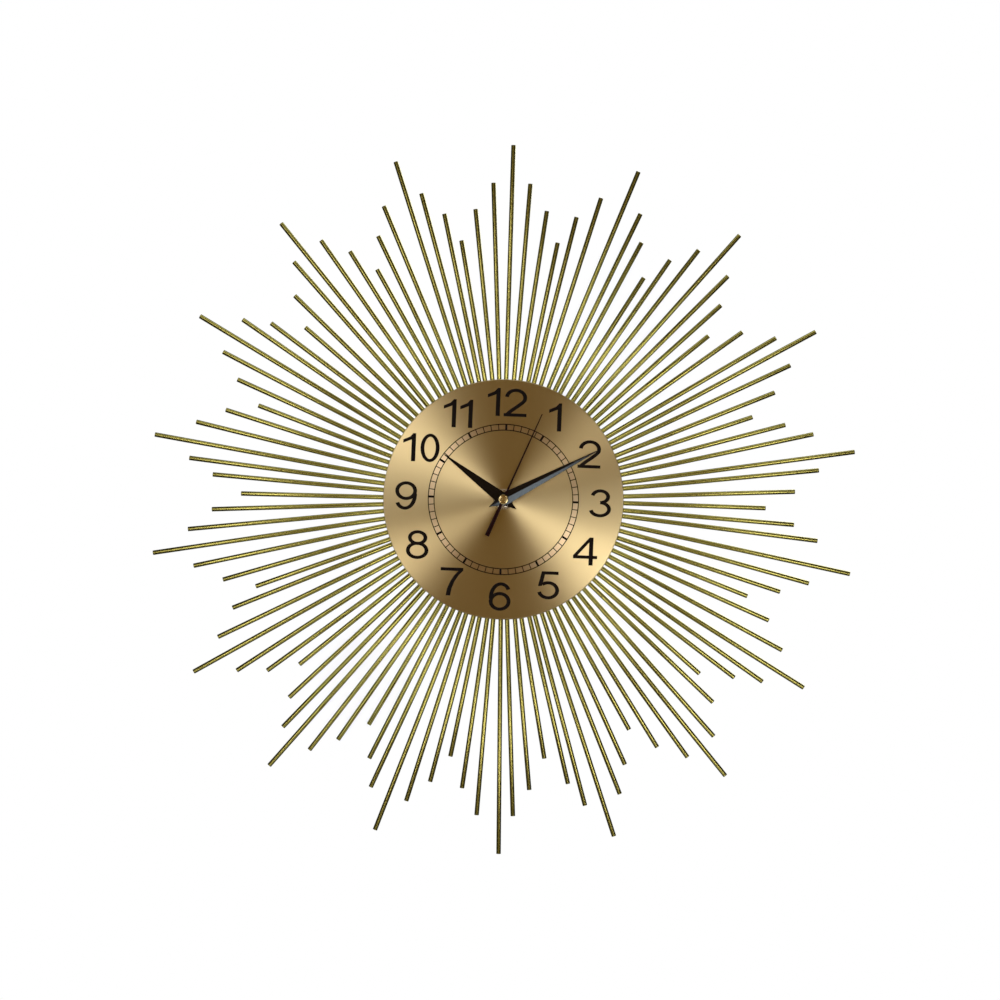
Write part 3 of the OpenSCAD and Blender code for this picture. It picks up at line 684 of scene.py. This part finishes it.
@dataclass
class RayFrame:
    """The welded rays and the steel disc behind the dial.

    Attributes:
        nodes: The CAD nodes that hold the rays, one for each length.
        radius: A rod's radius, in millimetres, as all the sizes here are.
        facets: Facets round a rod.
        tip_round: Width of the round at a rod's end.
        near_reach: Length of a rod's inner end that is averaged to find its middle.
        far_reach: The same at its outer end.
        marks_along: Coordinates of the drawn marks for each metre of rod.
        marks_shift: How far those coordinates may be shifted from rod to rod.
        bead_length: A weld bead's middle length.
        bead_width: Its width.
        bead_height: Its height.
        bead_sizes: Least and most that it is scaled by.
        bead_turn: Most that it is turned, in radians.
        bead_out: Least and most that it lies out from the rod's inner end.
        bead_sink: How far behind the rod's axis it lies.
        bead_lumps: Least and most that each of its points is pushed.
        bead_facets: Its facets round and along.
        disc_hole: Radius of the disc's hole.
        disc_chamfer: Width of the chamfer round the disc.
        disc_facets: Facets round the disc.
        hanger_round: Width of the hanger's pressed rounds.
        seed: Seed of every random draw.
        rays: The rays found so far.
    """

    UV = "along_ray"
    SHADE = "ray_shade"
    nodes: tuple[str, ...] = ("long_rays", "mid_long_rays", "mid_short_rays", "short_rays")
    radius: float = 1.65
    facets: int = 20
    tip_round: float = 0.3
    near_reach: float = 0.2
    far_reach: float = 0.12
    marks_along: float = 100.0
    marks_shift: float = 40.0
    bead_length: float = 5.6
    bead_width: float = 4.4
    bead_height: float = 2.3
    bead_sizes: Point = (0.85, 1.12)
    bead_turn: float = 0.3
    bead_out: Point = (0.2, 1.2)
    bead_sink: float = 0.75
    bead_lumps: Point = (0.88, 1.1)
    bead_facets: tuple[int, int] = (10, 6)
    disc_hole: float = 4.05
    disc_chamfer: float = 0.15
    disc_facets: int = 160
    hanger_round: float = 0.3
    seed: int = 7
    rays: list[Ray] = field(default_factory=list)

    def find_rays(self, node: str) -> list[Ray]:
        """Reads where each ray of a CAD node starts and ends.

        Args:
            node: The CAD node's name.

        Returns:
            Its rays.
        """
        bm = merged_copy(node)
        left = set(bm.verts)
        found = []
        while left:
            stack = [left.pop()]
            island = []
            while stack:
                vert = stack.pop()
                island.append(vert.co.copy())
                for edge in vert.link_edges:
                    other = edge.other_vert(vert)
                    if other in left:
                        left.remove(other)
                        stack.append(other)
            middle = sum(island, Vector()) / len(island)
            outward = Vector((middle.x, 0.0, middle.z)).normalized()
            along = sorted((p.dot(outward), i) for i, p in enumerate(island))
            near = [island[i] for t, i in along if t < along[0][0] + self.near_reach * MM]
            far = [island[i] for t, i in along if t > along[-1][0] - self.far_reach * MM]
            found.append(Ray(sum(near, Vector()) / len(near), sum(far, Vector()) / len(far)))
        bm.free()
        found.sort(key=lambda ray: math.atan2(ray.outer.x, ray.outer.z))
        return found

    def rod(self, length: float, tone: float, start: float) -> Shape:
        """Makes one rod along Z with slightly rounded ends, in metres.

        Args:
            length: Its length.
            tone: Its shade, from 0 to 1.
            start: Offset of its marks, so that no two rods match.

        Returns:
            The rod, with its marks' coordinates and its shade.
        """
        bm = bmesh.new()
        uv = bm.loops.layers.uv.new(self.UV)
        shade = bm.faces.layers.float.new(self.SHADE)
        radius = self.radius * MM
        bmesh.ops.create_cone(bm, cap_ends=True, cap_tris=False, segments=self.facets, radius1=radius,
                              radius2=radius, depth=length)
        bmesh.ops.translate(bm, verts=bm.verts[:], vec=(0, 0, length / 2))
        rounded(bm, [e for e in bm.edges if is_level(e, LEVEL * MM)], self.tip_round * MM)
        for face in bm.faces:
            face[shade] = tone
            middle = face.calc_center_median()
            about = math.atan2(middle.y, middle.x)
            for loop in face.loops:
                co = loop.vert.co
                turn = math.atan2(co.y, co.x)
                turn += math.tau * round((about - turn) / math.tau)
                loop[uv].uv = (turn / math.tau + start, co.z * self.marks_along)
        return bm

    def build_rays(self, node: str, draw: random.Random) -> None:
        """Makes one length of ray: straight rods with sawn ends.

        Args:
            node: The CAD node with rays of that length.
            draw: Source of each ray's shade.
        """
        bm = bmesh.new()
        bm.loops.layers.uv.new(self.UV)
        bm.faces.layers.float.new(self.SHADE)
        rays = self.find_rays(node)
        for ray in rays:
            along = ray.outer - ray.inner
            rod = self.rod(along.length, draw.random(), draw.random() * self.marks_shift)
            spot = Matrix.Translation(ray.inner) @ along.to_track_quat("Z", "Y").to_matrix().to_4x4()
            bmesh.ops.transform(rod, matrix=spot, verts=rod.verts[:])
            take_in(bm, rod)
        add_piece(bm, node + "_rods", ROOT_BODY, ROD, (node,), flat_built=False)
        self.rays += rays

    def build_beads(self, draw: random.Random) -> None:
        """Lays a lumpy weld bead over the inner end of each ray.

        Args:
            draw: Source of each bead's size.
        """
        bm = bmesh.new()
        for ray in self.rays:
            outward = (ray.outer - ray.inner).normalized()
            size = Vector((self.bead_width, self.bead_height, self.bead_length)) * (0.5 * MM)
            size *= draw.uniform(*self.bead_sizes)
            grow = Matrix.Diagonal((*size, 1.0))
            spin = Matrix.Rotation(draw.uniform(-self.bead_turn, self.bead_turn), 4, "Y")
            turn = outward.to_track_quat("Z", "Y").to_matrix().to_4x4()
            behind = Vector((0, -self.bead_sink * MM, 0))
            spot = ray.inner + outward * draw.uniform(*self.bead_out) * MM + behind
            round_it, along = self.bead_facets
            made = bmesh.ops.create_uvsphere(bm, u_segments=round_it, v_segments=along, radius=1.0)["verts"]
            for vert in made:
                vert.co *= draw.uniform(*self.bead_lumps)
            bmesh.ops.transform(bm, matrix=Matrix.Translation(spot) @ turn @ spin @ grow, verts=made)
        add_piece(bm, "weld_beads", ROOT_BODY, WELD, flat_built=False, smooth=80.0)

    def build_disc(self) -> None:
        """The plain steel disc that the rays are welded to."""
        back, front = off_wall("back_disc")
        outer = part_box("back_disc")[1].x / MM
        hole, edge = self.disc_hole, self.disc_chamfer
        bm = turned([(hole, back), (outer - edge, back), (outer, back + edge), (outer, front - edge),
                     (outer - edge, front), (hole, front)], self.disc_facets)
        add_piece(bm, "back_disc_painted", ROOT_BODY, PAINT, ("back_disc",))

    def build(self) -> None:
        """Makes the whole ray frame."""
        draw = random.Random(self.seed)
        for node in self.nodes:
            self.build_rays(node, draw)
        self.build_beads(draw)
        self.build_disc()
        softened("hanger_bracket", ROOT_BODY, PAINT, self.hanger_round)


# ---------- the dial ----------


@dataclass
class Dial:
    """The brushed dial plate; its print is the CAD's own.

    Attributes:
        hole: Radius of the middle hole, in millimetres, as all the sizes here are.
        edge_round: Radius of the rolled edge.
        rim: Thickness of the rim.
        facets: Facets round the plate.
        arc_steps: Facets across the rolled edge.
        crease: Edges that turn by more degrees than this stay sharp.
    """

    hole: float = 4.05
    edge_round: float = 0.7
    rim: float = 0.6
    facets: int = 240
    arc_steps: int = 6
    crease: float = 50.0

    def build(self) -> None:
        """Makes the plate with its rolled rim."""
        low, front = off_wall("dial_plate")
        back = off_wall("back_disc")[1]
        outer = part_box("dial_plate")[1].x / MM
        profile = [(self.hole, back), (outer - self.rim, back), (outer - self.rim, low), (outer, low)]
        for i in range(self.arc_steps + 1):
            a = math.radians(90 * i / self.arc_steps)
            inward, down = 1 - math.cos(a), 1 - math.sin(a)
            profile.append((outer - self.edge_round * inward, front - self.edge_round * down))
        profile.append((self.hole, front))
        plate = turned(profile, self.facets)
        add_piece(plate, "dial_brushed_plate", ROOT_BODY, DIAL, ("dial_plate",), smooth=self.crease)


# ---------- hands ----------


@dataclass
class KiteHand:
    """A kite-shaped hand whose flat sides fall away from a peak at its widest place.

    Attributes:
        node: The CAD node that it stands for.
        body: The CAD body that it moves with.
        length: From the hands' axis to its tip, in millimetres, as all the sizes here are.
        clockwise: Degrees past 12 at rest.
        half_width: Half its widest width.
        tip_half_width: Half the width of its tip.
        tail: From the hands' axis to its back point.
        shoulder: How far past the hands' axis it is widest.
        edge: Thickness at its rim.
        peak: Thickness at its peak.
        rim_round: Width of the round along its rim.
        crease: Edges that turn by more degrees than this stay sharp.
    """

    node: str
    body: str
    length: float
    clockwise: float
    half_width: float = 4.5
    tip_half_width: float = 0.3
    tail: float = 11.7
    shoulder: float = 1.0
    edge: float = 0.2
    peak: float = 0.6
    rim_round: float = 0.06
    crease: float = 3.0

    def build(self) -> None:
        """Makes the hand at its rest angle."""
        low, _ = off_wall(self.node)
        outline = [(self.tip_half_width, self.length), (self.half_width, self.shoulder), (0.0, -self.tail),
                   (-self.half_width, self.shoulder), (-self.tip_half_width, self.length)]
        bm = sheet(outline, low, low + self.edge)
        for normal in ((1, 0, 0), (0, 1, 0)):
            bmesh.ops.bisect_plane(bm, geom=bm.verts[:] + bm.edges[:] + bm.faces[:], dist=SAME_POINT,
                                   plane_co=(0, self.shoulder, 0), plane_no=normal)
        for vert in bm.verts:
            in_middle = abs(vert.co.x) < LEVEL and abs(vert.co.y - self.shoulder) < LEVEL
            if in_middle and vert.co.z > low + self.edge / 2:
                vert.co.z = low + self.peak
        sides = {f for f in bm.faces if abs(f.normal.z) < UPRIGHT_SIDE}
        rim = [e for e in bm.edges if all(abs(v.co.z - low - self.edge) < LEVEL for v in e.verts)
               and sides.intersection(e.link_faces)]
        rounded(bm, rim, self.rim_round)
        turn_about_axis(bm, self.clockwise)
        name = self.node + "_lacquered"
        add_piece(bm, name, self.body, GLOSS_BLACK, (self.node,), smooth=self.crease)


@dataclass
class HandSet:
    """All three hands with their collets and cap, at the time that the CAD shows.

    Attributes:
        hour: Degrees past 12 of the hour hand at rest.
        minute: The same of the minute hand.
        second: The same of the second hand.
        hour_length: From the hands' axis to the hour hand's tip, in millimetres, as all the sizes here are.
        minute_length: The same of the minute hand.
        needle_tip: The same of the needle.
        needle_tail: From the hands' axis to the end of the needle's counterweight.
        tail_start: Where the counterweight starts.
        needle_taper: Length of the taper at both of the needle's ends.
        needle_halves: Half the needle's width at the axis, before its taper and at its tip.
        tail_halves: Half the counterweight's width at its start, before its taper and at its end.
        needle_round: Width of the round along the needle.
        needle_angle: Edges of the needle that turn by more degrees than this are rounded.
        boss_radius: Radius of the needle's boss.
        boss_chamfer: Width of the chamfer round the boss's foot.
        boss_gap: Gap under the boss.
        boss_crown: How far the boss stands over the needle.
        boss_taper: How far its top is drawn in.
        cap_radius: Radius of the cap.
        cap_foot: How far in from the cap's side and up from its bottom its foot lies, step by step.
        cap_shoulder: How far in from the cap's side and down from its top its shoulder lies, step by step.
        cap_dimple: Radius and depth of the dimple in its top.
        cap_crease: Edges of the cap that turn by more degrees than this stay sharp.
        hour_hole: Radius of the hole in the hour hand's collet.
        minute_hole: The same of the minute hand's.
        collet_chamfer: Width of the chamfer round a collet.
        facets: Facets round a collet or the boss.
        cap_facets: Facets round the cap.
    """

    hour: float = 305.03
    minute: float = 60.37
    second: float = 22.2
    hour_length: float = 53.0
    minute_length: float = 75.0
    needle_tip: float = 67.0
    needle_tail: float = 28.5
    tail_start: float = 6.0
    needle_taper: float = 0.3
    needle_halves: tuple[float, float, float] = (0.7, 0.35, 0.12)
    tail_halves: tuple[float, float, float] = (1.1, 1.6, 1.3)
    needle_round: float = 0.06
    needle_angle: float = 60.0
    boss_radius: float = 3.2
    boss_chamfer: float = 0.1
    boss_gap: float = 0.01
    boss_crown: float = 0.08
    boss_taper: float = 0.15
    cap_radius: float = 3.5
    cap_foot: tuple[Point, ...] = ((0.2, 0.1), (0.0, 0.3))
    cap_shoulder: tuple[Point, ...] = ((0.0, 0.45), (0.12, 0.25), (0.35, 0.12), (0.9, 0.04))
    cap_dimple: Point = (0.5, 0.02)
    cap_crease: float = 25.0
    hour_hole: float = 2.5
    minute_hole: float = 1.7
    collet_chamfer: float = 0.12
    facets: int = 64
    cap_facets: int = 96

    def build_second(self) -> None:
        """The fine needle with its bar-shaped counterweight."""
        low, high = off_wall("second_hand")
        places = (0.0, self.needle_tip - self.needle_taper, self.needle_tip)
        half = list(zip(self.needle_halves, places))
        places = (-self.tail_start, -self.needle_tail + self.needle_taper, -self.needle_tail)
        tail = list(zip(self.tail_halves, places))
        mirrored = [(-x, y) for x, y in half[::-1] + tail]
        bm = sheet(half + mirrored + tail[::-1], low, high)
        rims = [e for e in sharp_edges(bm, self.needle_angle) if is_level(e)]
        rounded(bm, rims, self.needle_round)
        turn_about_axis(bm, self.second)
        add_piece(bm, "second_needle", "seconds", NEEDLE)
        r, foot, top = self.boss_radius, low + self.boss_gap, high + self.boss_crown
        boss = turned([(0.0, foot), (r - self.boss_chamfer, foot), (r, low + self.boss_chamfer), (r, high),
                       (r - self.boss_taper, top), (0.0, top)], self.facets)
        add_piece(boss, "second_boss", "seconds", GLOSS_BLACK, ("second_hand",))

    def build_cap(self) -> None:
        """The small turned cap over the hub."""
        low, high = off_wall("hub_cap")
        r = self.cap_radius
        foot = [(r - inward, low + up) for inward, up in self.cap_foot]
        shoulder = [(r - inward, high - down) for inward, down in self.cap_shoulder]
        brim, depth = self.cap_dimple
        bm = turned([(0.0, foot[0][1]), *foot, *shoulder, (brim, high), (0.0, high - depth)], self.cap_facets)
        add_piece(bm, "hub_cap_turned", "seconds", TURNED, ("hub_cap",), smooth=self.cap_crease)

    def build_collet(self, node: str, body: str, hole: float) -> None:
        """A short sleeve pressed into the back of a hand.

        Args:
            node: The CAD collet's name.
            body: The CAD body that it moves with.
            hole: Radius of its hole, in millimetres.
        """
        low, high = off_wall(node)
        r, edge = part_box(node)[1].x / MM, self.collet_chamfer
        bm = turned([(hole, low), (r - edge, low), (r, low + edge), (r, high), (hole, high)], self.facets)
        add_piece(bm, node + "_sleeve", body, GLOSS_BLACK, (node,))

    def build(self) -> None:
        """Makes the hands from the dial outwards."""
        KiteHand("hour_hand", "hours", self.hour_length, self.hour).build()
        KiteHand("minute_hand", "minutes", self.minute_length, self.minute).build()
        self.build_collet("hour_collet", "hours", self.hour_hole)
        self.build_collet("minute_collet", "minutes", self.minute_hole)
        self.build_second()
        self.build_cap()


# ---------- fastening and movement ----------


@dataclass
class Fastening:
    """The washer, nut and threaded bush that clamp the dial.

    Attributes:
        bush: Radius over the bush's thread, in millimetres, as all the sizes here are.
        bore: Radius of the bush's bore.
        flange: Radius of the flange inside the case.
        thread_depth: Depth of the thread.
        thread_step: From one turn of the thread to the next.
        thread_end: Plain length past the thread, and the chamfer at the end.
        clearance: Gap between the bush and the washer.
        washer_chamfer: Width of the chamfer round the washer.
        nut_round: Width of the rounds on the nut.
        washer_facets: Facets round the washer.
        bush_facets: Facets round the bush.
        crease: Edges of the bush that turn by more degrees than this stay sharp.
    """

    bush: float = 4.0
    bore: float = 2.6
    flange: float = 6.0
    thread_depth: float = 0.3
    thread_step: float = 0.5
    thread_end: float = 0.4
    clearance: float = 0.05
    washer_chamfer: float = 0.1
    nut_round: float = 0.25
    washer_facets: int = 96
    bush_facets: int = 72
    crease: float = 25.0

    def build_washer(self) -> None:
        """Makes the turned washer under the nut."""
        low, high = off_wall("dial_washer")
        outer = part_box("dial_washer")[1].x / MM
        hole, edge = self.bush + self.clearance, self.washer_chamfer
        bm = turned([(hole, low), (outer - edge, low), (outer, low + edge), (outer, high - edge),
                     (outer - edge, high), (hole, high)], self.washer_facets)
        add_piece(bm, "dial_washer_turned", ROOT_BODY, NICKEL, ("dial_washer",))

    def build_bush(self) -> None:
        """Makes the bush with its flange and its thread as fine rings."""
        low, high = off_wall("threaded_bush")
        face = off_wall("case_front")[0]
        start = off_wall("dial_washer")[1]
        turns = int((high - self.thread_end - start) / self.thread_step)
        profile = [(self.bore, low), (self.flange, low), (self.flange, face), (self.bush, face)]
        for i in range(turns):
            z = start + i * self.thread_step
            profile += [(self.bush, z), (self.bush - self.thread_depth, z + self.thread_step / 2)]
        profile += [(self.bush, start + turns * self.thread_step), (self.bush - self.thread_end, high),
                    (self.bore, high)]
        bm = turned(profile, self.bush_facets)
        add_piece(bm, "threaded_bush_turned", ROOT_BODY, NICKEL, ("threaded_bush",), smooth=self.crease)

    def build(self) -> None:
        """Makes the three pieces."""
        self.build_washer()
        softened("hex_nut", ROOT_BODY, NICKEL, self.nut_round)
        self.build_bush()


@dataclass
class Movement:
    """The movement's visible outside: case, knob, cell and contacts.

    Attributes:
        case_round: Width of the case's moulded rounds, in millimetres, as all the sizes here are.
        knob_round: The same of the knob.
        contact_round: The same of the contacts.
        cell_radius: Radius of the cell's sleeve.
        cell_nub: Radius of the nub.
        nub_length: How far the nub stands out.
        cell_base: Radius and height of the bare base's middle, step by step.
        crimp: How far in from the sleeve and up from the base the sleeve's foot lies, step by step.
        neck: How far in from the sleeve and down from the shoulder its neck lies, step by step.
        nub_foot: How far out from the nub and down from the shoulder the nub's foot starts.
        nub_chamfer: How far in and down the chamfer of the nub's end goes.
        metal_inset: How far in from the sleeve the bare metal of both ends starts.
        metal_depth: How far the metal reaches from the base, and from the shoulder.
        facets: Facets round the cell.
    """

    case_round: float = 0.35
    knob_round: float = 0.12
    contact_round: float = 0.08
    cell_radius: float = 6.95
    cell_nub: float = 2.7
    nub_length: float = 1.2
    cell_base: tuple[Point, ...] = ((0.0, 0.0), (3.4, 0.0), (3.7, 0.25))
    crimp: tuple[Point, ...] = ((1.1, 0.25), (0.8, 0.0), (0.25, 0.05), (0.0, 0.4))
    neck: tuple[Point, ...] = ((0.0, 0.5), (0.3, 0.1), (0.9, 0.0), (1.2, 0.3))
    nub_foot: Point = (0.5, 0.3)
    nub_chamfer: Point = (0.3, 0.2)
    metal_inset: float = 0.7
    metal_depth: Point = (0.4, 0.5)
    facets: int = 72

    def build_cell(self) -> None:
        """The round cell with a crimped sleeve and a metal nub."""
        low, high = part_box("battery")
        start, length = low.x / MM, (high.x - low.x) / MM
        side, up = -(low.y + high.y) / 2 / MM, (low.z + high.z) / 2 / MM
        r, nub, shoulder = self.cell_radius, self.cell_nub, length - self.nub_length
        foot = [(r - inward, height) for inward, height in self.crimp]
        neck = [(r - inward, shoulder - down) for inward, down in self.neck]
        (out, below), (inward, down) = self.nub_foot, self.nub_chamfer
        tip = [(nub + out, shoulder - below), (nub, shoulder), (nub, length - down), (nub - inward, length),
               (0.0, length)]
        bm = turned([*self.cell_base, *foot, *neck, *tip], self.facets)
        lying = Matrix.Rotation(math.radians(90), 3, "Y")
        bmesh.ops.rotate(bm, verts=bm.verts[:], cent=(0, 0, 0), matrix=lying)
        bmesh.ops.translate(bm, verts=bm.verts[:], vec=(start, up, side))
        base_end, top_start = self.metal_depth[0], shoulder - self.metal_depth[1]
        for face in bm.faces:
            x = face.calc_center_median().x - start
            reach = max(math.hypot(v.co.y - up, v.co.z - side) for v in face.verts)
            at_an_end = x < base_end or x > top_start
            face.material_index = int(reach < r - self.metal_inset and at_an_end)
        piece = add_piece(bm, "battery_cell", ROOT_BODY, CELL, ("battery",))
        piece.data.materials.append(STEEL.build())

    def build(self) -> None:
        """Makes the outside of the movement."""
        softened("case_back", ROOT_BODY, CASE, self.case_round)
        softened("case_front", ROOT_BODY, CASE, self.case_round)
        softened("set_knob", "setting", CASE, self.knob_round)
        softened("battery_contact_positive", ROOT_BODY, CONTACT, self.contact_round)
        softened("battery_contact_negative", ROOT_BODY, CONTACT, self.contact_round)
        self.build_cell()


@dataclass
class CarriedNodes:
    """CAD nodes that show as they are, each with the finish of its own slot."""

    def dress(self) -> None:
        """Gives every CAD node its finish."""
        by_slot = {finish.slot: finish for finish in FINISHES}
        for entry in frame["record"]["subparts"]:
            node = frame["nodes"][entry["node"]]
            node.data.materials.clear()
            node.data.materials.append(by_slot[entry["material_slot"]].build())
        log.info("dressed %d CAD nodes", len(frame["nodes"]))


# ---------- studio ----------


@dataclass(frozen=True)
class Lamp:
    """A soft rectangular light that faces the clock.

    Attributes:
        name: Its name.
        side: Degrees to the right of straight in front.
        rise: Degrees above level.
        size: Its width and height, in metres.
        power: Watts.
        colour: Its colour.
        only: The one piece that it shines on, if it doesn't light everything.
    """

    name: str
    side: float
    rise: float
    size: Point
    power: float
    colour: Colour = (1.0, 1.0, 1.0)
    only: str = ""


LAMPS = (
    Lamp("lower_right", 22.3, -12.8, (0.72, 0.54), 6.3, (1.0, 0.97, 0.93)),
    Lamp("upper_left", -22.0, 12.5, (0.66, 0.54), 4.0, (1.0, 0.97, 0.93)),
    Lamp("lower_left", -22.5, -13.5, (0.52, 0.42), 3.7, (1.0, 0.96, 0.90)),
    Lamp("upper_right", 18.0, 14.0, (0.36, 0.36), 1.05, (1.0, 0.97, 0.92)),
    Lamp("right", 26.0, 0.0, (0.3, 0.3), 0.9, (0.92, 0.96, 1.0)),
    Lamp("left", -26.0, 1.0, (0.3, 0.3), 0.75, (0.92, 0.96, 1.0)),
    Lamp("glint", 5.2, -8.6, (0.2, 0.2), 1.1, (0.76, 0.90, 1.0), "minute_hand_lacquered"),
    Lamp("dial_left", -62.0, 4.0, (1.4, 1.2), 2.6, (1.0, 0.98, 0.95), "dial_brushed_plate"),
    Lamp("dial_right", 62.0, 4.0, (1.4, 1.2), 2.6, (1.0, 0.98, 0.95), "dial_brushed_plate"),
    Lamp("behind", 150.0, 30.0, (1.2, 1.2), 14.0),
    Lamp("below", 4.0, -52.0, (1.5, 0.5), 2.6, (1.0, 0.99, 0.94)),
    Lamp("overhead", 0.0, 78.0, (1.8, 1.2), 8.0),
)


@dataclass
class Studio:
    """Pale floor, soft lights and the camera.

    Attributes:
        distance: From the camera to the dial's face, in metres, as all the lengths here are but the sensor's.
        frame_width: Width that the camera takes in at the dial's face.
        sensor: Width of the camera's sensor, in millimetres.
        roll: Degrees that the camera is rolled by.
        aim: Where the camera points, to the right of and above the hands' axis.
        dial_plane: The dial's face in depth.
        floor_drop: How far the floor is below the hands' axis.
        floor_half: Half the floor's width.
        floor_depth: The floor's middle in depth.
        floor_colour: The floor's colour.
        floor_wash: Strength of the light on the floor.
        wash_angle: Degrees across that light.
        light_distance: From the lamps to the clock.
        room: What the clock reflects, from straight behind it (0) to straight in front (1).
    """

    distance: float = 2.4
    frame_width: float = 0.7155
    sensor: float = 36.0
    roll: float = 2.3
    aim: Point = (-0.0024, -0.0005)
    dial_plane: float = -0.0178
    floor_drop: float = 0.62
    floor_half: float = 2.6
    floor_depth: float = -1.1
    floor_colour: Colour = (0.82, 0.82, 0.81)
    floor_wash: float = 3.3
    wash_angle: float = 40.0
    light_distance: float = 2.2
    room: tuple[tuple[float, Colour], ...] = (
        (0.0, (1.0, 1.0, 1.0)),
        (0.05, (0.45, 0.45, 0.45)),
        (0.10, (0.02, 0.02, 0.017)),
        (0.50, (0.02, 0.02, 0.015)),
        (0.68, (0.03, 0.03, 0.024)),
        (0.79, (0.045, 0.045, 0.035)),
        (0.86, (0.08, 0.075, 0.045)),
        (0.91, (0.12, 0.08, 0.02)),
        (0.955, (0.14, 0.074, 0.003)),
        (1.0, (0.14, 0.070, 0.001)),
    )

    def build_floor(self) -> None:
        """A plain pale floor below and clear of the clock."""
        bm = bmesh.new()
        bmesh.ops.create_grid(bm, x_segments=1, y_segments=1, size=self.floor_half)
        bmesh.ops.translate(bm, verts=bm.verts[:], vec=(0, self.floor_depth, -self.floor_drop))
        mesh = bpy.data.meshes.new("studio_floor")
        bm.to_mesh(mesh)
        bm.free()
        floor = bpy.data.objects.new("studio_floor", mesh)
        bpy.context.scene.collection.objects.link(floor)
        tree = NodeTree("floor_paint")
        tree.shader.inputs["Base Color"].default_value = (*self.floor_colour, 1.0)
        tree.shader.inputs["Roughness"].default_value = 0.9
        tree.shader.inputs["Specular IOR Level"].default_value = 0.0
        mesh.materials.append(tree.material)
        floor.visible_glossy = False
        sky = bpy.data.lights.new("floor_wash", "SUN")
        sky.energy = self.floor_wash
        sky.angle = math.radians(self.wash_angle)
        wash = bpy.data.objects.new("floor_wash", sky)
        bpy.context.scene.collection.objects.link(wash)
        self.light_only(wash, floor)

    def build_world(self) -> None:
        """White surroundings behind the clock, and a dimmer room in front of it."""
        world = bpy.data.worlds.new("studio_world")
        bpy.context.scene.world = world
        world.use_nodes = True
        nodes, links = world.node_tree.nodes, world.node_tree.links
        nodes.clear()
        direction = nodes.new("ShaderNodeTexCoord")
        split = nodes.new("ShaderNodeSeparateXYZ")
        links.new(direction.outputs["Generated"], split.inputs[0])
        facing = nodes.new("ShaderNodeMapRange")
        links.new(split.outputs["Y"], facing.inputs["Value"])
        facing.inputs["From Min"].default_value = 1.0
        facing.inputs["From Max"].default_value = -1.0
        ramp = nodes.new("ShaderNodeValToRGB")
        links.new(facing.outputs["Result"], ramp.inputs["Fac"])
        stops = ramp.color_ramp.elements
        while len(stops) < len(self.room):
            stops.new(0.5)
        for stop, (place, colour) in zip(stops, self.room):
            stop.position = place
            stop.color = (*colour, 1.0)
        room = nodes.new("ShaderNodeBackground")
        links.new(ramp.outputs["Color"], room.inputs["Color"])
        paper = nodes.new("ShaderNodeBackground")
        paper.inputs["Color"].default_value = (1.0, 1.0, 1.0, 1.0)
        seen = nodes.new("ShaderNodeLightPath")
        mix = nodes.new("ShaderNodeMixShader")
        links.new(seen.outputs["Is Camera Ray"], mix.inputs[0])
        links.new(room.outputs[0], mix.inputs[1])
        links.new(paper.outputs[0], mix.inputs[2])
        output = nodes.new("ShaderNodeOutputWorld")
        links.new(mix.outputs[0], output.inputs["Surface"])

    def add_lamp(self, lamp: Lamp) -> None:
        """Adds a lamp to the scene.

        Args:
            lamp: The lamp.
        """
        data = bpy.data.lights.new(lamp.name, "AREA")
        data.shape = "RECTANGLE"
        data.size, data.size_y = lamp.size
        data.energy = lamp.power
        data.color = lamp.colour
        light = bpy.data.objects.new(lamp.name, data)
        a, e = math.radians(lamp.side), math.radians(lamp.rise)
        towards = Vector((math.sin(a) * math.cos(e), -math.cos(a) * math.cos(e), math.sin(e)))
        light.location = towards * self.light_distance
        light.rotation_mode = "QUATERNION"
        light.rotation_quaternion = (-towards).to_track_quat("-Z", "Y")
        light.visible_camera = False
        bpy.context.scene.collection.objects.link(light)
        if lamp.only:
            self.light_only(light, bpy.data.objects[lamp.only])

    def light_only(self, light: bpy.types.Object, piece: bpy.types.Object) -> None:
        """Makes a light shine on one piece alone.

        Args:
            light: The light.
            piece: What it lights.
        """
        lit = bpy.data.collections.new("lit_by_" + light.name)
        lit.objects.link(piece)
        light.light_linking.receiver_collection = lit

    def build_camera(self) -> None:
        """The camera, square on to the dial."""
        data = bpy.data.cameras.new("studio_camera")
        data.sensor_width = self.sensor
        data.lens = self.sensor * self.distance / self.frame_width
        camera = bpy.data.objects.new("studio_camera", data)
        camera.rotation_mode = "XYZ"
        camera.rotation_euler = (math.radians(90), -math.radians(self.roll), 0)
        camera.location = (self.aim[0], self.dial_plane - self.distance, self.aim[1])
        bpy.context.scene.collection.objects.link(camera)
        bpy.context.scene.camera = camera

    def build(self) -> None:
        """Sets up the studio."""
        bpy.context.scene.view_settings.view_transform = "Standard"
        self.build_floor()
        self.build_world()
        for lamp in LAMPS:
            self.add_lamp(lamp)
        self.build_camera()


def main() -> None:
    """Builds the clock's pieces in order, then the studio."""
    logging.basicConfig(level=logging.INFO, format="%(name)s: %(message)s")
    CarriedNodes().dress()
    RayFrame().build()
    Dial().build()
    Fastening().build()
    HandSet().build()
    Movement().build()
    Studio().build()


if __name__ == "__main__":
    main()
